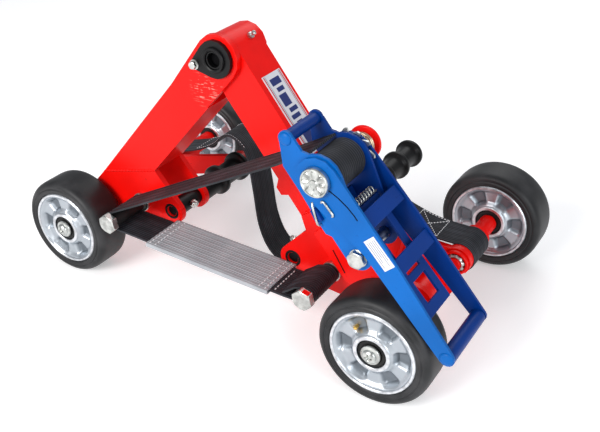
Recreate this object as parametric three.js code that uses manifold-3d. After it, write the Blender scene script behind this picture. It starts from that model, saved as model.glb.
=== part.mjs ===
// Self-lifting wheel dolly: two hinged legs on four wheels, drawn together by a ratchet strap
// so that two spool rollers close under a vehicle's tyre and lift it.
// Millimetres, +Z up. X runs from the left axle to the right axle, Y from the leg side to the far wheels.
import * as THREE from 'three';
import { mergeVertices } from 'three/addons/utils/BufferGeometryUtils.js';
import Module from 'manifold-3d';

const wasm = await Module();
wasm.setup();

// ---------------------------------------------------------------- driving dimensions
const GAP = 0.3;                                 // clearance between pieces that touch
const WHEELBASE = 457;
const WHEEL = { radius: 62.5, width: 50, rim: 47.4, bore: 8.3 };
const HINGE = { x: 0, z: 301, pin: 12.5, hollow: 8 };
const LEFT_AXLE = { x: -WHEELBASE / 2, z: WHEEL.radius };
const RIGHT_AXLE = { x: WHEELBASE / 2, z: WHEEL.radius };
const FAR_RIGHT_AXLE = { x: RIGHT_AXLE.x + 7.5, z: WHEEL.radius };
const NEAR_LEFT_WHEEL_Y = 41;
const NEAR_RIGHT_WHEEL_Y = 0;
const FAR_LEFT_WHEEL_Y = 344;
const FAR_RIGHT_WHEEL_Y = 291;
const BOLT = 8;                                  // axle and roller shafts
const HALF_LEG = 24.5;                           // half the leg's box section
const WALL = 4;
const LEG_NEAR_Y = 103;                          // right leg, between the left leg's cheeks
const LEG_FAR_Y = 149;
const CHEEK = 7;
const LEFT_NEAR_Y = LEG_NEAR_Y - GAP - CHEEK;
const LEFT_FAR_Y = LEG_FAR_Y + GAP;
const CHEEK_RADIUS = 26.5;
const FAR_CHEEK = { radius: 24.5, thickness: 5 };
const LEFT_LEG_START = 56;                       // distance from the hinge along the leg
const LEFT_LEG_OFFSET = -2.5;                    // the left leg's middle runs inside the hinge-to-axle line
const LEFT_LEG_END = { inner: 190, outer: 262 };
const RIGHT_LEG_END = 262;
const RIGHT_LEG_ANGLE = 54.9 * Math.PI / 180;
const LUG_RADIUS = 16.5;
const BOSS_RADIUS = 24;
const LEFT_ROLLER = { x: -93.7, z: 94 };
const RIGHT_ROLLER = { x: 79.5, z: 77 };
const LEFT_ARM_Y = 239;
const RIGHT_ARM_Y = 194;
const ARM_THICKNESS = 8;
const ROLLER_END_Y = 402;
const LEFT_PIN = { x: -139.5, z: 97 };
const RIGHT_PIN = { x: 132, z: 77 };
const PIN_RADIUS = 8;
const WEBBING = { width: 50, thickness: 3 };
const SLING_WIDTH = 43;
const STRAP_LEFT_Y = 40;                         // near edge of the strap on the left pin
const STRAP_RIGHT_Y = 38;                        // near edge of the eye on the right pin
const MANDREL = { x: 173, z: 238.5 };
const ROLL_RADIUS = 20.5;
const RATCHET_Y = 5;                             // outer face of the lever's near arm
const RATCHET_PLATE = 3;
const ANCHOR = { x: 212.7, z: 165.3 };
const LEVER_ANGLE = -50.3 * Math.PI / 180;
const LEVER_LENGTH = 212.5;
const LEVER_FLARE = 0.065;                       // the far arm leans outwards towards the grip
const RELEASE_TRAVEL = 22;
const FRAME_ORIGIN = { x: 11.02, y: 199.75 };      // centre of the dolly's floor rectangle

// ---------------------------------------------------------------- materials
const finish = (color, roughness, metalness) =>
  new THREE.MeshStandardMaterial({ color, roughness, metalness });
const red = finish(0xd8140f, 0.35, 0.1);
const blue = finish(0x0a62c8, 0.35, 0.1);
const zinc = finish(0xc4c6c4, 0.3, 0.9);
const cast = finish(0xa8acae, 0.35, 0.9);
const black = finish(0x141414, 0.5, 0.0);
const rubber = finish(0x1b1b1d, 0.8, 0.0);
const webbing = finish(0x24242a, 0.9, 0.0);
const grey = finish(0x8d9196, 0.8, 0.0);
const white = finish(0xe8e8ea, 0.5, 0.0);

const dolly = new THREE.Group();

// ---------------------------------------------------------------- helpers
function solid(geometry) {
  for (const name of ['normal', 'uv']) geometry.deleteAttribute(name);
  const welded = mergeVertices(geometry, 1e-4);
  return new wasm.Manifold(new wasm.Mesh({
    numProp: 3,
    vertProperties: new Float32Array(welded.attributes.position.array),
    triVerts: new Uint32Array(welded.index.array),
  }));
}

function surface(body) {
  const mesh = body.getMesh();
  const geometry = new THREE.BufferGeometry();
  geometry.setAttribute('position', new THREE.BufferAttribute(new Float32Array(mesh.vertProperties), 3));
  geometry.setIndex(new THREE.BufferAttribute(new Uint32Array(mesh.triVerts), 1));
  geometry.computeVertexNormals();
  return geometry;
}

function add(name, shape, material) {
  const geometry = shape instanceof THREE.BufferGeometry ? shape : surface(shape);
  const mesh = new THREE.Mesh(geometry, material);
  mesh.name = name;
  dolly.add(mesh);
}

const point = (x, z) => new THREE.Vector2(x, z);

// A flat plate: an outline in X and Z, thick along Y from yNear to yFar.
function plate(outline, yNear, yFar, curveSegments = 7) {
  const shape = outline instanceof THREE.Shape ? outline : new THREE.Shape(outline);
  const geometry = new THREE.ExtrudeGeometry(shape, {
    depth: yFar - yNear, bevelEnabled: false, curveSegments,
  });
  geometry.rotateX(Math.PI / 2);
  geometry.translate(0, yFar, 0);
  return solid(geometry);
}

// A square block between two corners.
function block([xFrom, xTo], [yFrom, yTo], [zFrom, zTo]) {
  const geometry = new THREE.BoxGeometry(xTo - xFrom, yTo - yFrom, zTo - zFrom);
  geometry.translate((xFrom + xTo) / 2, (yFrom + yTo) / 2, (zFrom + zTo) / 2);
  return solid(geometry);
}

// A round bar along Y.
function rod(centre, yNear, yFar, radius, segments = 16) {
  const geometry = new THREE.CylinderGeometry(radius, radius, yFar - yNear, segments);
  geometry.translate(centre.x, (yNear + yFar) / 2, centre.z);
  return solid(geometry);
}

// A turned piece about an axis along Y; the profile lists [radius, y] and closes on itself.
function turned(profile, centre, segments = 32) {
  const points = profile.map(([radius, y]) => new THREE.Vector2(radius, y));
  if (profile[0][0] > 0) points.push(points[0].clone());
  const geometry = new THREE.LatheGeometry(points, segments);
  geometry.translate(centre.x, 0, centre.z);
  const body = solid(geometry);
  if (body.volume() > 0) return body;
  geometry.index.array.reverse();
  return solid(geometry);
}

// The convex outline round two circles of different radii, as a link or an arm has.
function linkOutline(a, radiusA, b, radiusB, steps = 8) {
  const along = Math.atan2(b.z - a.z, b.x - a.x);
  const distance = Math.hypot(b.x - a.x, b.z - a.z);
  const lean = Math.acos((radiusA - radiusB) / distance);
  const arc = (centre, radius, from, to) => Array.from({ length: steps }, (_, i) => {
    const angle = from + (to - from) * i / (steps - 1);
    return point(centre.x + radius * Math.cos(angle), centre.z + radius * Math.sin(angle));
  });
  return [
    ...arc(b, radiusB, along - lean, along + lean),
    ...arc(a, radiusA, along + lean, along + 2 * Math.PI - lean),
  ];
}

// A strip of webbing: stations give x, y and z of its middle, in order; it stays level across Y.
function ribbon(stations, width, thickness) {
  const corners = [];
  stations.forEach((station, i) => {
    const before = stations[Math.max(i - 1, 0)];
    const after = stations[Math.min(i + 1, stations.length - 1)];
    const length = Math.hypot(after.x - before.x, after.z - before.z);
    const normalX = -(after.z - before.z) / length * thickness / 2;
    const normalZ = (after.x - before.x) / length * thickness / 2;
    for (const [side, across] of [[1, -1], [1, 1], [-1, 1], [-1, -1]]) {
      corners.push(station.x + side * normalX, station.y + across * width / 2, station.z + side * normalZ);
    }
  });
  const faces = [];
  for (let i = 0; i < stations.length - 1; i += 1) {
    for (let k = 0; k < 4; k += 1) {
      const a = 4 * i + k;
      const b = 4 * i + (k + 1) % 4;
      faces.push(a, b, b + 4, a, b + 4, a + 4);
    }
  }
  const last = 4 * (stations.length - 1);
  faces.push(0, 2, 1, 0, 3, 2, last, last + 1, last + 2, last, last + 2, last + 3);
  const geometry = new THREE.BufferGeometry();
  geometry.setAttribute('position', new THREE.BufferAttribute(new Float32Array(corners), 3));
  geometry.setIndex(faces);
  const body = solid(geometry);
  if (body.volume() > 0) return body;
  geometry.index.array.reverse();
  return solid(geometry);
}

// Points every few degrees on an arc, as stations of a ribbon; y goes evenly from yStart to yEnd.
function arcStations(centre, radius, from, to, yStart, yEnd, steps) {
  return Array.from({ length: steps + 1 }, (_, i) => {
    const angle = from + (to - from) * i / steps;
    return {
      x: centre.x + radius * Math.cos(angle),
      y: yStart + (yEnd - yStart) * i / steps,
      z: centre.z + radius * Math.sin(angle),
    };
  });
}

// A hexagon-headed bolt along Y: head in front of its washer face, shank behind.
function hexBolt(centre, headNear, headFar, acrossFlats, shankFar, shankRadius) {
  const head = rod(centre, headNear, headFar, acrossFlats / Math.sqrt(3), 6);
  return head.add(rod(centre, headFar - 1, shankFar, shankRadius));
}

// ---------------------------------------------------------------- legs
const leftDirection = { x: (LEFT_AXLE.x - HINGE.x), z: (LEFT_AXLE.z - HINGE.z) };
const leftReach = Math.hypot(leftDirection.x, leftDirection.z);
leftDirection.x /= leftReach;
leftDirection.z /= leftReach;
const rightDirection = { x: Math.cos(RIGHT_LEG_ANGLE), z: -Math.sin(RIGHT_LEG_ANGLE) };

// The point at a distance along a leg and a distance to its outer side.
function onLeg(direction, along, outward) {
  const turn = direction.x < 0 ? -1 : 1;
  return point(
    HINGE.x + direction.x * along - turn * direction.z * outward,
    HINGE.z + direction.z * along + turn * direction.x * outward,
  );
}

function legOutline(direction, from, to, half) {
  return [
    onLeg(direction, from, -half), onLeg(direction, to, -half),
    onLeg(direction, to, half), onLeg(direction, from, half),
  ];
}

function cheekOutline(radius) {
  const tail = onLeg(leftDirection, LEFT_LEG_START + 34, LEFT_LEG_OFFSET);
  return linkOutline(HINGE, radius, { x: tail.x, z: tail.y }, HALF_LEG - 1);
}

// The left leg's lower end is cut level with the foot plates: the outer edge is the longer one.
function leftLegOutline(from, shorter, inset) {
  const inner = LEFT_LEG_OFFSET - HALF_LEG + inset;
  const outer = LEFT_LEG_OFFSET + HALF_LEG - inset;
  return [
    onLeg(leftDirection, from, inner), onLeg(leftDirection, LEFT_LEG_END.inner - shorter, inner),
    onLeg(leftDirection, LEFT_LEG_END.outer - shorter, outer), onLeg(leftDirection, from, outer),
  ];
}

function makeLegs() {
  const box = plate(leftLegOutline(LEFT_LEG_START, 0, 0), LEFT_NEAR_Y, LEFT_FAR_Y);
  const hollow = plate(
    leftLegOutline(LEFT_LEG_START + WALL, -5, WALL), LEFT_NEAR_Y + CHEEK, LEFT_FAR_Y - WALL,
  );
  const nearCheek = plate(cheekOutline(CHEEK_RADIUS), LEFT_NEAR_Y, LEFT_NEAR_Y + CHEEK);
  const farCheek = plate(cheekOutline(FAR_CHEEK.radius), LEFT_FAR_Y, LEFT_FAR_Y + FAR_CHEEK.thickness);
  const pinHole = rod(HINGE, LEFT_NEAR_Y - 5, LEFT_FAR_Y + 20, HINGE.pin + 0.25, 24);
  const left = box.subtract(hollow).add(nearCheek).add(farCheek).subtract(pinHole);
  add('left_leg', left, red);

  const rightBox = plate(legOutline(rightDirection, 0, RIGHT_LEG_END, HALF_LEG), LEG_NEAR_Y, LEG_FAR_Y);
  const barrel = rod(HINGE, LEG_NEAR_Y, LEG_FAR_Y, HALF_LEG, 28);
  const rightHollow = plate(
    legOutline(rightDirection, 34, RIGHT_LEG_END + 5, HALF_LEG - WALL),
    LEG_NEAR_Y + WALL, LEG_FAR_Y - WALL,
  );
  const tab = plate([
    onLeg(rightDirection, 142, -HALF_LEG + 1), onLeg(rightDirection, 150, -HALF_LEG - 9),
    onLeg(rightDirection, 160, -HALF_LEG - 9), onLeg(rightDirection, 164, -HALF_LEG + 1),
  ], LEG_NEAR_Y, LEG_NEAR_Y + 30);
  const right = rightBox.subtract(rightHollow).add(barrel).add(tab).subtract(pinHole);
  add('right_leg', right, red);
}

function makeHinge() {
  const face = LEFT_NEAR_Y - GAP;
  const keeperThickness = 5;
  const tip = { x: HINGE.x - 26, z: HINGE.z - 8 };
  const keeper = plate(linkOutline(HINGE, 21, tip, 6, 12), face - keeperThickness, face)
    .subtract(rod(HINGE, face - 20, face + 1, 10.3, 24))
    .subtract(rod(tip, face - 20, face + 1, 3.3, 12));
  add('keeper_plate', keeper, black);
  const nose = face - keeperThickness - 1;
  const far = LEFT_FAR_Y + FAR_CHEEK.thickness + 4;
  const pin = rod(HINGE, face + GAP, far, HINGE.pin, 24)
    .add(rod(HINGE, nose, face + 1, 10, 24))
    .subtract(rod(HINGE, nose - 5, far + 5, HINGE.hollow, 24));
  add('hinge_pin', pin, zinc);
  add('keeper_bolt', hexBolt(tip, face - keeperThickness - 12, face - keeperThickness - GAP, 8, face - 0.5, 3), zinc);
  const nipple = turned([[0, 0], [3.2, 0], [3.2, 3], [1.8, 5], [2.4, 7], [1.2, 9], [0, 9]], { x: 0, z: 0 }, 10);
  const angle = 40 * Math.PI / 180;
  const seat = HALF_LEG + GAP;
  const placed = nipple.rotate([0, 0, -90]).rotate([0, -40, 0]).translate([
    HINGE.x + seat * Math.cos(angle), 132, HINGE.z + seat * Math.sin(angle),
  ]);
  add('grease_nipple', placed, zinc);
}

// ---------------------------------------------------------------- feet
function leftFootOutline() {
  const outer = onLeg(leftDirection, LEFT_LEG_END.outer + GAP, LEFT_LEG_OFFSET + HALF_LEG);
  const inner = onLeg(leftDirection, LEFT_LEG_END.inner + GAP, LEFT_LEG_OFFSET - HALF_LEG);
  const shape = new THREE.Shape();
  shape.moveTo(inner.x, inner.y);
  shape.lineTo(outer.x, outer.y);
  shape.absarc(LEFT_AXLE.x, LEFT_AXLE.z, BOSS_RADIUS, 2.4, 4.9, false);
  shape.lineTo(LEFT_PIN.x - 6, 78.5);
  shape.lineTo(LEFT_PIN.x + 12, 80);
  shape.absarc(LEFT_ROLLER.x, LEFT_ROLLER.z, LUG_RADIUS, -2.1, 0.75, false);
  shape.closePath();
  return shape;
}

function rightFootOutline() {
  const shape = new THREE.Shape();
  const innerTop = onLeg(rightDirection, 208, -HALF_LEG);
  const outerTop = onLeg(rightDirection, 190, HALF_LEG);
  shape.moveTo(outerTop.x, outerTop.y);
  shape.lineTo(onLeg(rightDirection, 190, -HALF_LEG + 6).x, onLeg(rightDirection, 190, -HALF_LEG + 6).y);
  shape.lineTo(innerTop.x, innerTop.y);
  shape.lineTo(96, 116);
  shape.absarc(RIGHT_ROLLER.x, RIGHT_ROLLER.z, LUG_RADIUS, 2.2, 4.7, false);
  shape.lineTo(118, 50);
  shape.lineTo(146, 46);
  shape.absarc(RIGHT_AXLE.x, RIGHT_AXLE.z, BOSS_RADIUS, -1.7, 1.9, false);
  shape.lineTo(onLeg(rightDirection, 250, HALF_LEG).x, onLeg(rightDirection, 250, HALF_LEG).y);
  shape.closePath();
  return shape;
}

function makeFeet() {
  const leftHoles = (body, boltRadius) => body
    .subtract(rod(LEFT_AXLE, 60, 200, boltRadius))
    .subtract(rod(LEFT_ROLLER, 60, 200, 6.8));
  const nearFar = LEFT_NEAR_Y + CHEEK;
  const leftNear = leftHoles(plate(leftFootOutline(), LEFT_NEAR_Y, nearFar), BOLT + GAP)
    .subtract(rod(LEFT_PIN, 60, 200, PIN_RADIUS + GAP));
  add('left_foot_plate', leftNear, red);
  const rearNear = LEFT_FAR_Y - CHEEK;
  const leftTube = rod(LEFT_AXLE, nearFar + GAP, rearNear + 1, 14);
  const leftRear = leftHoles(plate(leftFootOutline(), rearNear, LEFT_FAR_Y).add(leftTube), BOLT + GAP);
  add('left_rear_plate', leftRear, red);

  const plateNear = LEG_NEAR_Y - GAP - CHEEK;
  const rightNear = plate(rightFootOutline(), plateNear, LEG_NEAR_Y - GAP)
    .subtract(rod(RIGHT_AXLE, 60, 200, 14.3))
    .subtract(rod(RIGHT_PIN, 60, 200, PIN_RADIUS + GAP))
    .subtract(rod(RIGHT_ROLLER, 60, 200, 6.8));
  add('right_foot_plate', rightNear, red);
  const rightRear = plate(rightFootOutline(), LEG_FAR_Y + GAP, LEG_FAR_Y + GAP + CHEEK)
    .subtract(rod(RIGHT_AXLE, 60, 200, BOLT + GAP))
    .subtract(rod(RIGHT_ROLLER, 60, 200, 6.8));
  add('right_rear_plate', rightRear, red);
  const tube = rod(RIGHT_AXLE, NEAR_RIGHT_WHEEL_Y + WHEEL.width + GAP, LEG_FAR_Y, 14)
    .subtract(rod(RIGHT_AXLE, 20, 220, BOLT + GAP));
  add('right_axle_tube', tube, red);
}

// ---------------------------------------------------------------- wheels and axles
function makeWheel(prefix, centre, near) {
  const { radius, width, rim, bore } = WHEEL;
  const far = near + width;
  const tyre = turned([
    [rim + GAP, near + 0.5], [rim + 7, near], [radius - 2.5, near + 3], [radius, near + 10],
    [radius, far - 10], [radius - 2.5, far - 3], [rim + 7, far], [rim + GAP, far - 0.5],
  ], centre, 32);
  add(`${prefix}_tyre`, tyre, rubber);
  const disc = turned([
    [bore, near + 1], [20, near + 1], [22, near + 14], [38, near + 12], [42, near + 1.5],
    [rim, near + 1.5], [rim, far - 1.5], [42, far - 1.5], [38, far - 12], [22, far - 14],
    [20, far - 1], [bore, far - 1],
  ], centre, 24);
  add(`${prefix}_rim`, disc, cast);
}

function makeFarAxle(side, centre, armNear, wheelNear) {
  const armFar = armNear + ARM_THICKNESS;
  const wheelFar = wheelNear + WHEEL.width;
  const axle = turned([
    [0, armNear - 9], [BOLT, armNear - 9], [BOLT, armFar + GAP], [17, armFar + GAP], [17, armFar + 2],
    [15, armFar + 2], [15, armFar + 55], [10.5, armFar + 56], [10.5, wheelNear - GAP], [BOLT, wheelNear - GAP],
    [BOLT, wheelFar + GAP], [12, wheelFar + GAP], [12, wheelFar + 3], [8, wheelFar + 7], [0, wheelFar + 8],
  ], centre, 18);
  add(`${side}_far_axle`, axle, red);
  const nut = rod(centre, armNear - 7.5, armNear - GAP, 12, 8).subtract(rod(centre, 100, 300, BOLT + GAP));
  add(`${side}_far_nut`, nut, zinc);
}

function makeFarArm(side, roller, axle, near) {
  const far = near + ARM_THICKNESS;
  const bar = plate(linkOutline(roller, 12, axle, 14), near, far)
    .add(rod(roller, near, far, LUG_RADIUS))
    .add(rod(axle, near, far, 17))
    .subtract(rod(roller, near - 5, far + 5, 6.8))
    .subtract(rod(axle, near - 5, far + 5, BOLT + GAP));
  add(`${side}_far_arm`, bar, red);
}

function makeAxleBolt(side, centre, wheelNear, far) {
  const head = turned([
    [0, wheelNear - 7.5], [5, wheelNear - 7], [10, wheelNear - 4], [10, wheelNear - 2], [15, wheelNear - 2],
    [15, wheelNear + 0.5], [BOLT, wheelNear + 0.5], [BOLT, far], [0, far],
  ], centre, 16);
  add(`${side}_near_axle_bolt`, head, zinc);
}

// ---------------------------------------------------------------- rollers
function makeRollerSegment(name, centre, near, far, pitch) {
  const count = Math.max(1, Math.round((far - near) / pitch));
  const unit = (far - near) / count;
  const profile = [[7.4, near]];
  for (let i = 0; i < count; i += 1) {
    const y = near + i * unit;
    profile.push([14.5, y + (i === 0 ? 0 : 0.4)], [14, y + unit * 0.68], [19.5, y + unit * 0.8],
      [19.5, y + unit * 0.97]);
  }
  profile.push([14.5, far], [7.4, far]);
  add(name, turned(profile, centre, 18), black);
}

function makeRollers() {
  makeRollerSegment('left_roller_near', LEFT_ROLLER, LEFT_FAR_Y + 0.7, LEFT_ARM_Y - 0.7, 42);
  makeRollerSegment('left_roller_far', LEFT_ROLLER, LEFT_ARM_Y + ARM_THICKNESS + 0.7, ROLLER_END_Y, 42);
  makeRollerSegment('right_roller_near', RIGHT_ROLLER, LEG_FAR_Y + CHEEK + 1, RIGHT_ARM_Y - 0.7, 42);
  makeRollerSegment('right_roller_far', RIGHT_ROLLER, RIGHT_ARM_Y + ARM_THICKNESS + 0.7, ROLLER_END_Y, 42);
  for (const [side, centre, rearNear] of [
    ['left', LEFT_ROLLER, LEFT_FAR_Y - CHEEK], ['right', RIGHT_ROLLER, LEG_FAR_Y + GAP],
  ]) {
    const shaft = rod(centre, LEFT_NEAR_Y + 2, ROLLER_END_Y + 1, 6.5, 20)
      .add(rod(centre, ROLLER_END_Y + 0.6, ROLLER_END_Y + 5, 12, 20));
    add(`${side}_roller_shaft`, shaft, black);
    const tube = rod(centre, LEG_NEAR_Y + (side === 'left' ? 0 : GAP), rearNear - GAP, 11)
      .subtract(rod(centre, 60, 200, 6.8));
    add(`${side}_spacer_tube`, tube, black);
    const inward = side === 'left' ? 1 : -1;
    const dome = turned([[0, 0], [3, 0], [3, 1.5], [5, 1.5], [5, 5], [3.8, 8], [0, 9.5]], { x: 0, z: 0 }, 10);
    const lean = side === 'left' ? 8 : 30;
    const seat = 11 + GAP;
    const angle = lean * Math.PI / 180;
    const placed = dome.rotate([0, 0, -90]).rotate([0, -lean, 0])
      .translate([seat * Math.cos(angle), 0, seat * Math.sin(angle)]);
    const turnedIn = inward > 0 ? placed : placed.mirror([1, 0, 0]);
    add(`${side}_cap_nut`, turnedIn.translate([centre.x, 121, centre.z]), zinc);
  }
}

// ---------------------------------------------------------------- strap pins
function makeStrapPins() {
  const pin = (centre, webNear, plateNear, shankFar) => {
    const headFar = webNear - 1;
    return hexBolt(centre, headFar - 8, headFar, 22, shankFar, PIN_RADIUS)
      .add(rod(centre, webNear + WEBBING.width + 2.2, plateNear - GAP, PIN_RADIUS + 4));
  };
  add('left_strap_pin', pin(LEFT_PIN, STRAP_LEFT_Y - 1, LEFT_NEAR_Y, LEFT_NEAR_Y + CHEEK + 3), zinc);
  add('right_strap_pin', pin(RIGHT_PIN, STRAP_RIGHT_Y - 1, LEG_NEAR_Y - GAP - CHEEK, LEG_NEAR_Y - 0.5), zinc);
}

// ---------------------------------------------------------------- ratchet
// Across the ratchet: lever arm, base plate, roll, base plate, toothed wheel, lever arm.
const NEAR_ARM = [RATCHET_Y, RATCHET_Y + RATCHET_PLATE];
const NEAR_BASE = [NEAR_ARM[1] + GAP, NEAR_ARM[1] + GAP + RATCHET_PLATE];
const ROLL_Y = [NEAR_BASE[1] + GAP, NEAR_BASE[1] + GAP + WEBBING.width];
const FAR_BASE = [ROLL_Y[1] + GAP, ROLL_Y[1] + GAP + RATCHET_PLATE];
const TOOTHED = [FAR_BASE[1] + GAP, FAR_BASE[1] + GAP + RATCHET_PLATE];
const FAR_ARM = [TOOTHED[1] + 1.9, TOOTHED[1] + 1.9 + RATCHET_PLATE];

const GRIP = { x: 139, z: 272.5 };

// The point at a distance along the lever and a distance to its upper side.
function onLever(along, up) {
  const c = Math.cos(LEVER_ANGLE);
  const s = Math.sin(LEVER_ANGLE);
  return point(MANDREL.x + along * c - up * s, MANDREL.z + along * s + up * c);
}

function basePlate([near, far]) {
  const head = plate(linkOutline(MANDREL, 25, ANCHOR, 13.5, 10), near, far);
  const side = plate([
    point(134.5, 244), point(150, 223), point(172, 190), point(178, 182), point(199, 178),
    point(MANDREL.x + 14, MANDREL.z + 18), point(155.7, 263), point(147, 275), point(131.5, 274),
  ], near, far);
  return head.add(side).add(rod(GRIP, near, far, 8))
    .subtract(rod(MANDREL, near - 5, far + 5, 9.3))
    .subtract(rod(ANCHOR, near - 5, far + 5, 6.3));
}

function makeRatchetBase() {
  add('ratchet_near_plate', basePlate(NEAR_BASE), blue);
  add('ratchet_far_plate', basePlate(FAR_BASE), blue);
  add('ratchet_grip', rod(GRIP, NEAR_BASE[1] + GAP, FAR_BASE[0] - GAP, 6.2), blue);

  const far = LEG_NEAR_Y - 2 * GAP - CHEEK;
  const near = far - 11;
  const web = plate([
    point(116, 125), point(154, 75), point(182, 70), point(214, 120), point(ANCHOR.x + 12, ANCHOR.z - 5),
    point(ANCHOR.x - 8, ANCHOR.z + 11), point(150, 136), point(124, 133),
  ], near, far);
  const bracket = web.add(rod(ANCHOR, near, far, 14)).subtract(rod(ANCHOR, 0, 200, 6.3));
  add('ratchet_bracket', bracket, red);
  add('anchor_bolt', hexBolt(ANCHOR, NEAR_ARM[0] - 3, NEAR_BASE[0] - GAP, 16.5, far, 6), zinc);
}

function makeMandrel() {
  const springFar = FAR_ARM[1] + RELEASE_TRAVEL;
  const body = rod(MANDREL, NEAR_ARM[0] - 1, springFar + 12, 9, 20)
    .add(turned([
      [0, NEAR_ARM[0] - 7], [9, NEAR_ARM[0] - 7], [14, NEAR_ARM[0] - 5.5], [15, NEAR_ARM[0] - 3],
      [15, NEAR_ARM[0] - GAP], [0, NEAR_ARM[0] - GAP],
    ], MANDREL, 20));
  add('mandrel', body, zinc);
  const teeth = 12;
  const outline = [];
  for (let i = 0; i < teeth; i += 1) {
    for (const [share, radius] of [[0, 20], [0.12, 27.5], [0.35, 27.5], [0.95, 20]]) {
      const angle = 2 * Math.PI * (i + share) / teeth;
      outline.push(point(MANDREL.x + radius * Math.cos(angle), MANDREL.z + radius * Math.sin(angle)));
    }
  }
  const wheel = plate(outline, ...TOOTHED).subtract(rod(MANDREL, 0, 300, 9.3));
  add('ratchet_wheel', wheel, zinc);
  const roll = rod(MANDREL, ...ROLL_Y, ROLL_RADIUS, 24).subtract(rod(MANDREL, 0, 300, 9.3));
  add('wound_webbing', roll, webbing);

  const knob = turned([
    [9.3, springFar], [16.5, springFar], [18, springFar + 2], [18, springFar + 4], [16.5, springFar + 6],
    [11, springFar + 6], [11, springFar + 10], [9.3, springFar + 10],
  ], MANDREL, 18);
  add('release_knob', knob, red);
  const coils = turned([
    [10.3, FAR_ARM[1] + 2], [13.2, FAR_ARM[1] + 2], [13.2, springFar - GAP], [10.3, springFar - GAP],
  ], MANDREL, 16);
  add('release_spring', coils, zinc);
}

// Leans a piece outwards along Y in step with its distance along the lever.
function flared(body) {
  const c = Math.cos(LEVER_ANGLE);
  const s = Math.sin(LEVER_ANGLE);
  const lean = new THREE.Matrix4().set(
    1, 0, 0, 0,
    LEVER_FLARE * c, 1, LEVER_FLARE * s, -LEVER_FLARE * (MANDREL.x * c + MANDREL.z * s),
    0, 0, 1, 0,
    0, 0, 0, 1,
  );
  return body.transform(lean.elements);
}

function leverArm([near, far], lean) {
  const bend = onLever(80, 6.7);
  const tip = onLever(LEVER_LENGTH - 8, 2);
  const upper = plate(linkOutline(MANDREL, 23, { x: bend.x, z: bend.y }, 13), near, far);
  const lower = plate(linkOutline({ x: bend.x, z: bend.y }, 13, { x: tip.x, z: tip.y }, 8), near, far);
  const arm = upper.add(lower);
  return (lean ? flared(arm) : arm).subtract(rod(MANDREL, near - 5, far + 5, 9.3));
}

// The inner face of the far arm at a distance along the lever.
const innerFar = (along) => FAR_ARM[0] + LEVER_FLARE * along - GAP;

// A cross plate of the lever: its middle is at a distance along and above the arm's line.
function crossPlate(along, length, up) {
  return plate([
    onLever(along - length / 2, up - RATCHET_PLATE), onLever(along + length / 2, up - RATCHET_PLATE),
    onLever(along + length / 2, up), onLever(along - length / 2, up),
  ], NEAR_ARM[1] + GAP, innerFar(along - length / 2));
}

function makeLever() {
  add('lever_near_arm', leverArm(NEAR_ARM, false), blue);
  add('lever_far_arm', leverArm(FAR_ARM, true), blue);
  const tip = onLever(LEVER_LENGTH - 8, 2);
  const grip = rod({ x: tip.x, z: tip.y }, NEAR_ARM[1] + GAP, innerFar(LEVER_LENGTH - 17), 7.8, 20);
  add('lever_grip', grip, blue);
  add('lever_upper_plate', crossPlate(56, 17, 19), blue);
  add('lever_lower_plate', crossPlate(108, 16, 16), blue);

  const slideY = [NEAR_BASE[1] + 3, FAR_BASE[0] - 3];
  const middle = [slideY[0] + 10, slideY[1] - 10];
  const height = [4.5, 7.5];
  const flat = block([44, 166], slideY, height)
    .subtract(block([58, 122], middle, [0, 20]))
    .subtract(block([130, 154], middle, [0, 20]));
  const swing = new THREE.Matrix4().makeRotationY(-LEVER_ANGLE).setPosition(MANDREL.x, 0, MANDREL.z);
  add('lever_pawl', flat.transform(swing.elements), blue);
}

function makeBasePawl() {
  const toAnchor = Math.atan2(ANCHOR.z - MANDREL.z, ANCHOR.x - MANDREL.x);
  const at = (along, up) => point(
    MANDREL.x + along * Math.cos(toAnchor) - up * Math.sin(toAnchor),
    MANDREL.z + along * Math.sin(toAnchor) + up * Math.cos(toAnchor),
  );
  const slide = plate(
    [at(28, -14), at(56, -14), at(56, -10), at(28, -10)], NEAR_BASE[1] + GAP, FAR_BASE[0] - GAP,
  );
  add('base_pawl', slide, blue);
}

// ---------------------------------------------------------------- label
function makeLabel() {
  const label = plate(
    [
      onLeg(rightDirection, 42, HALF_LEG + GAP), onLeg(rightDirection, 138, HALF_LEG + GAP),
      onLeg(rightDirection, 138, HALF_LEG + GAP + 0.6), onLeg(rightDirection, 42, HALF_LEG + GAP + 0.6),
    ], LEG_NEAR_Y + 8, LEG_FAR_Y - 5,
  );
  add('leg_label', label, white);
}

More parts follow.
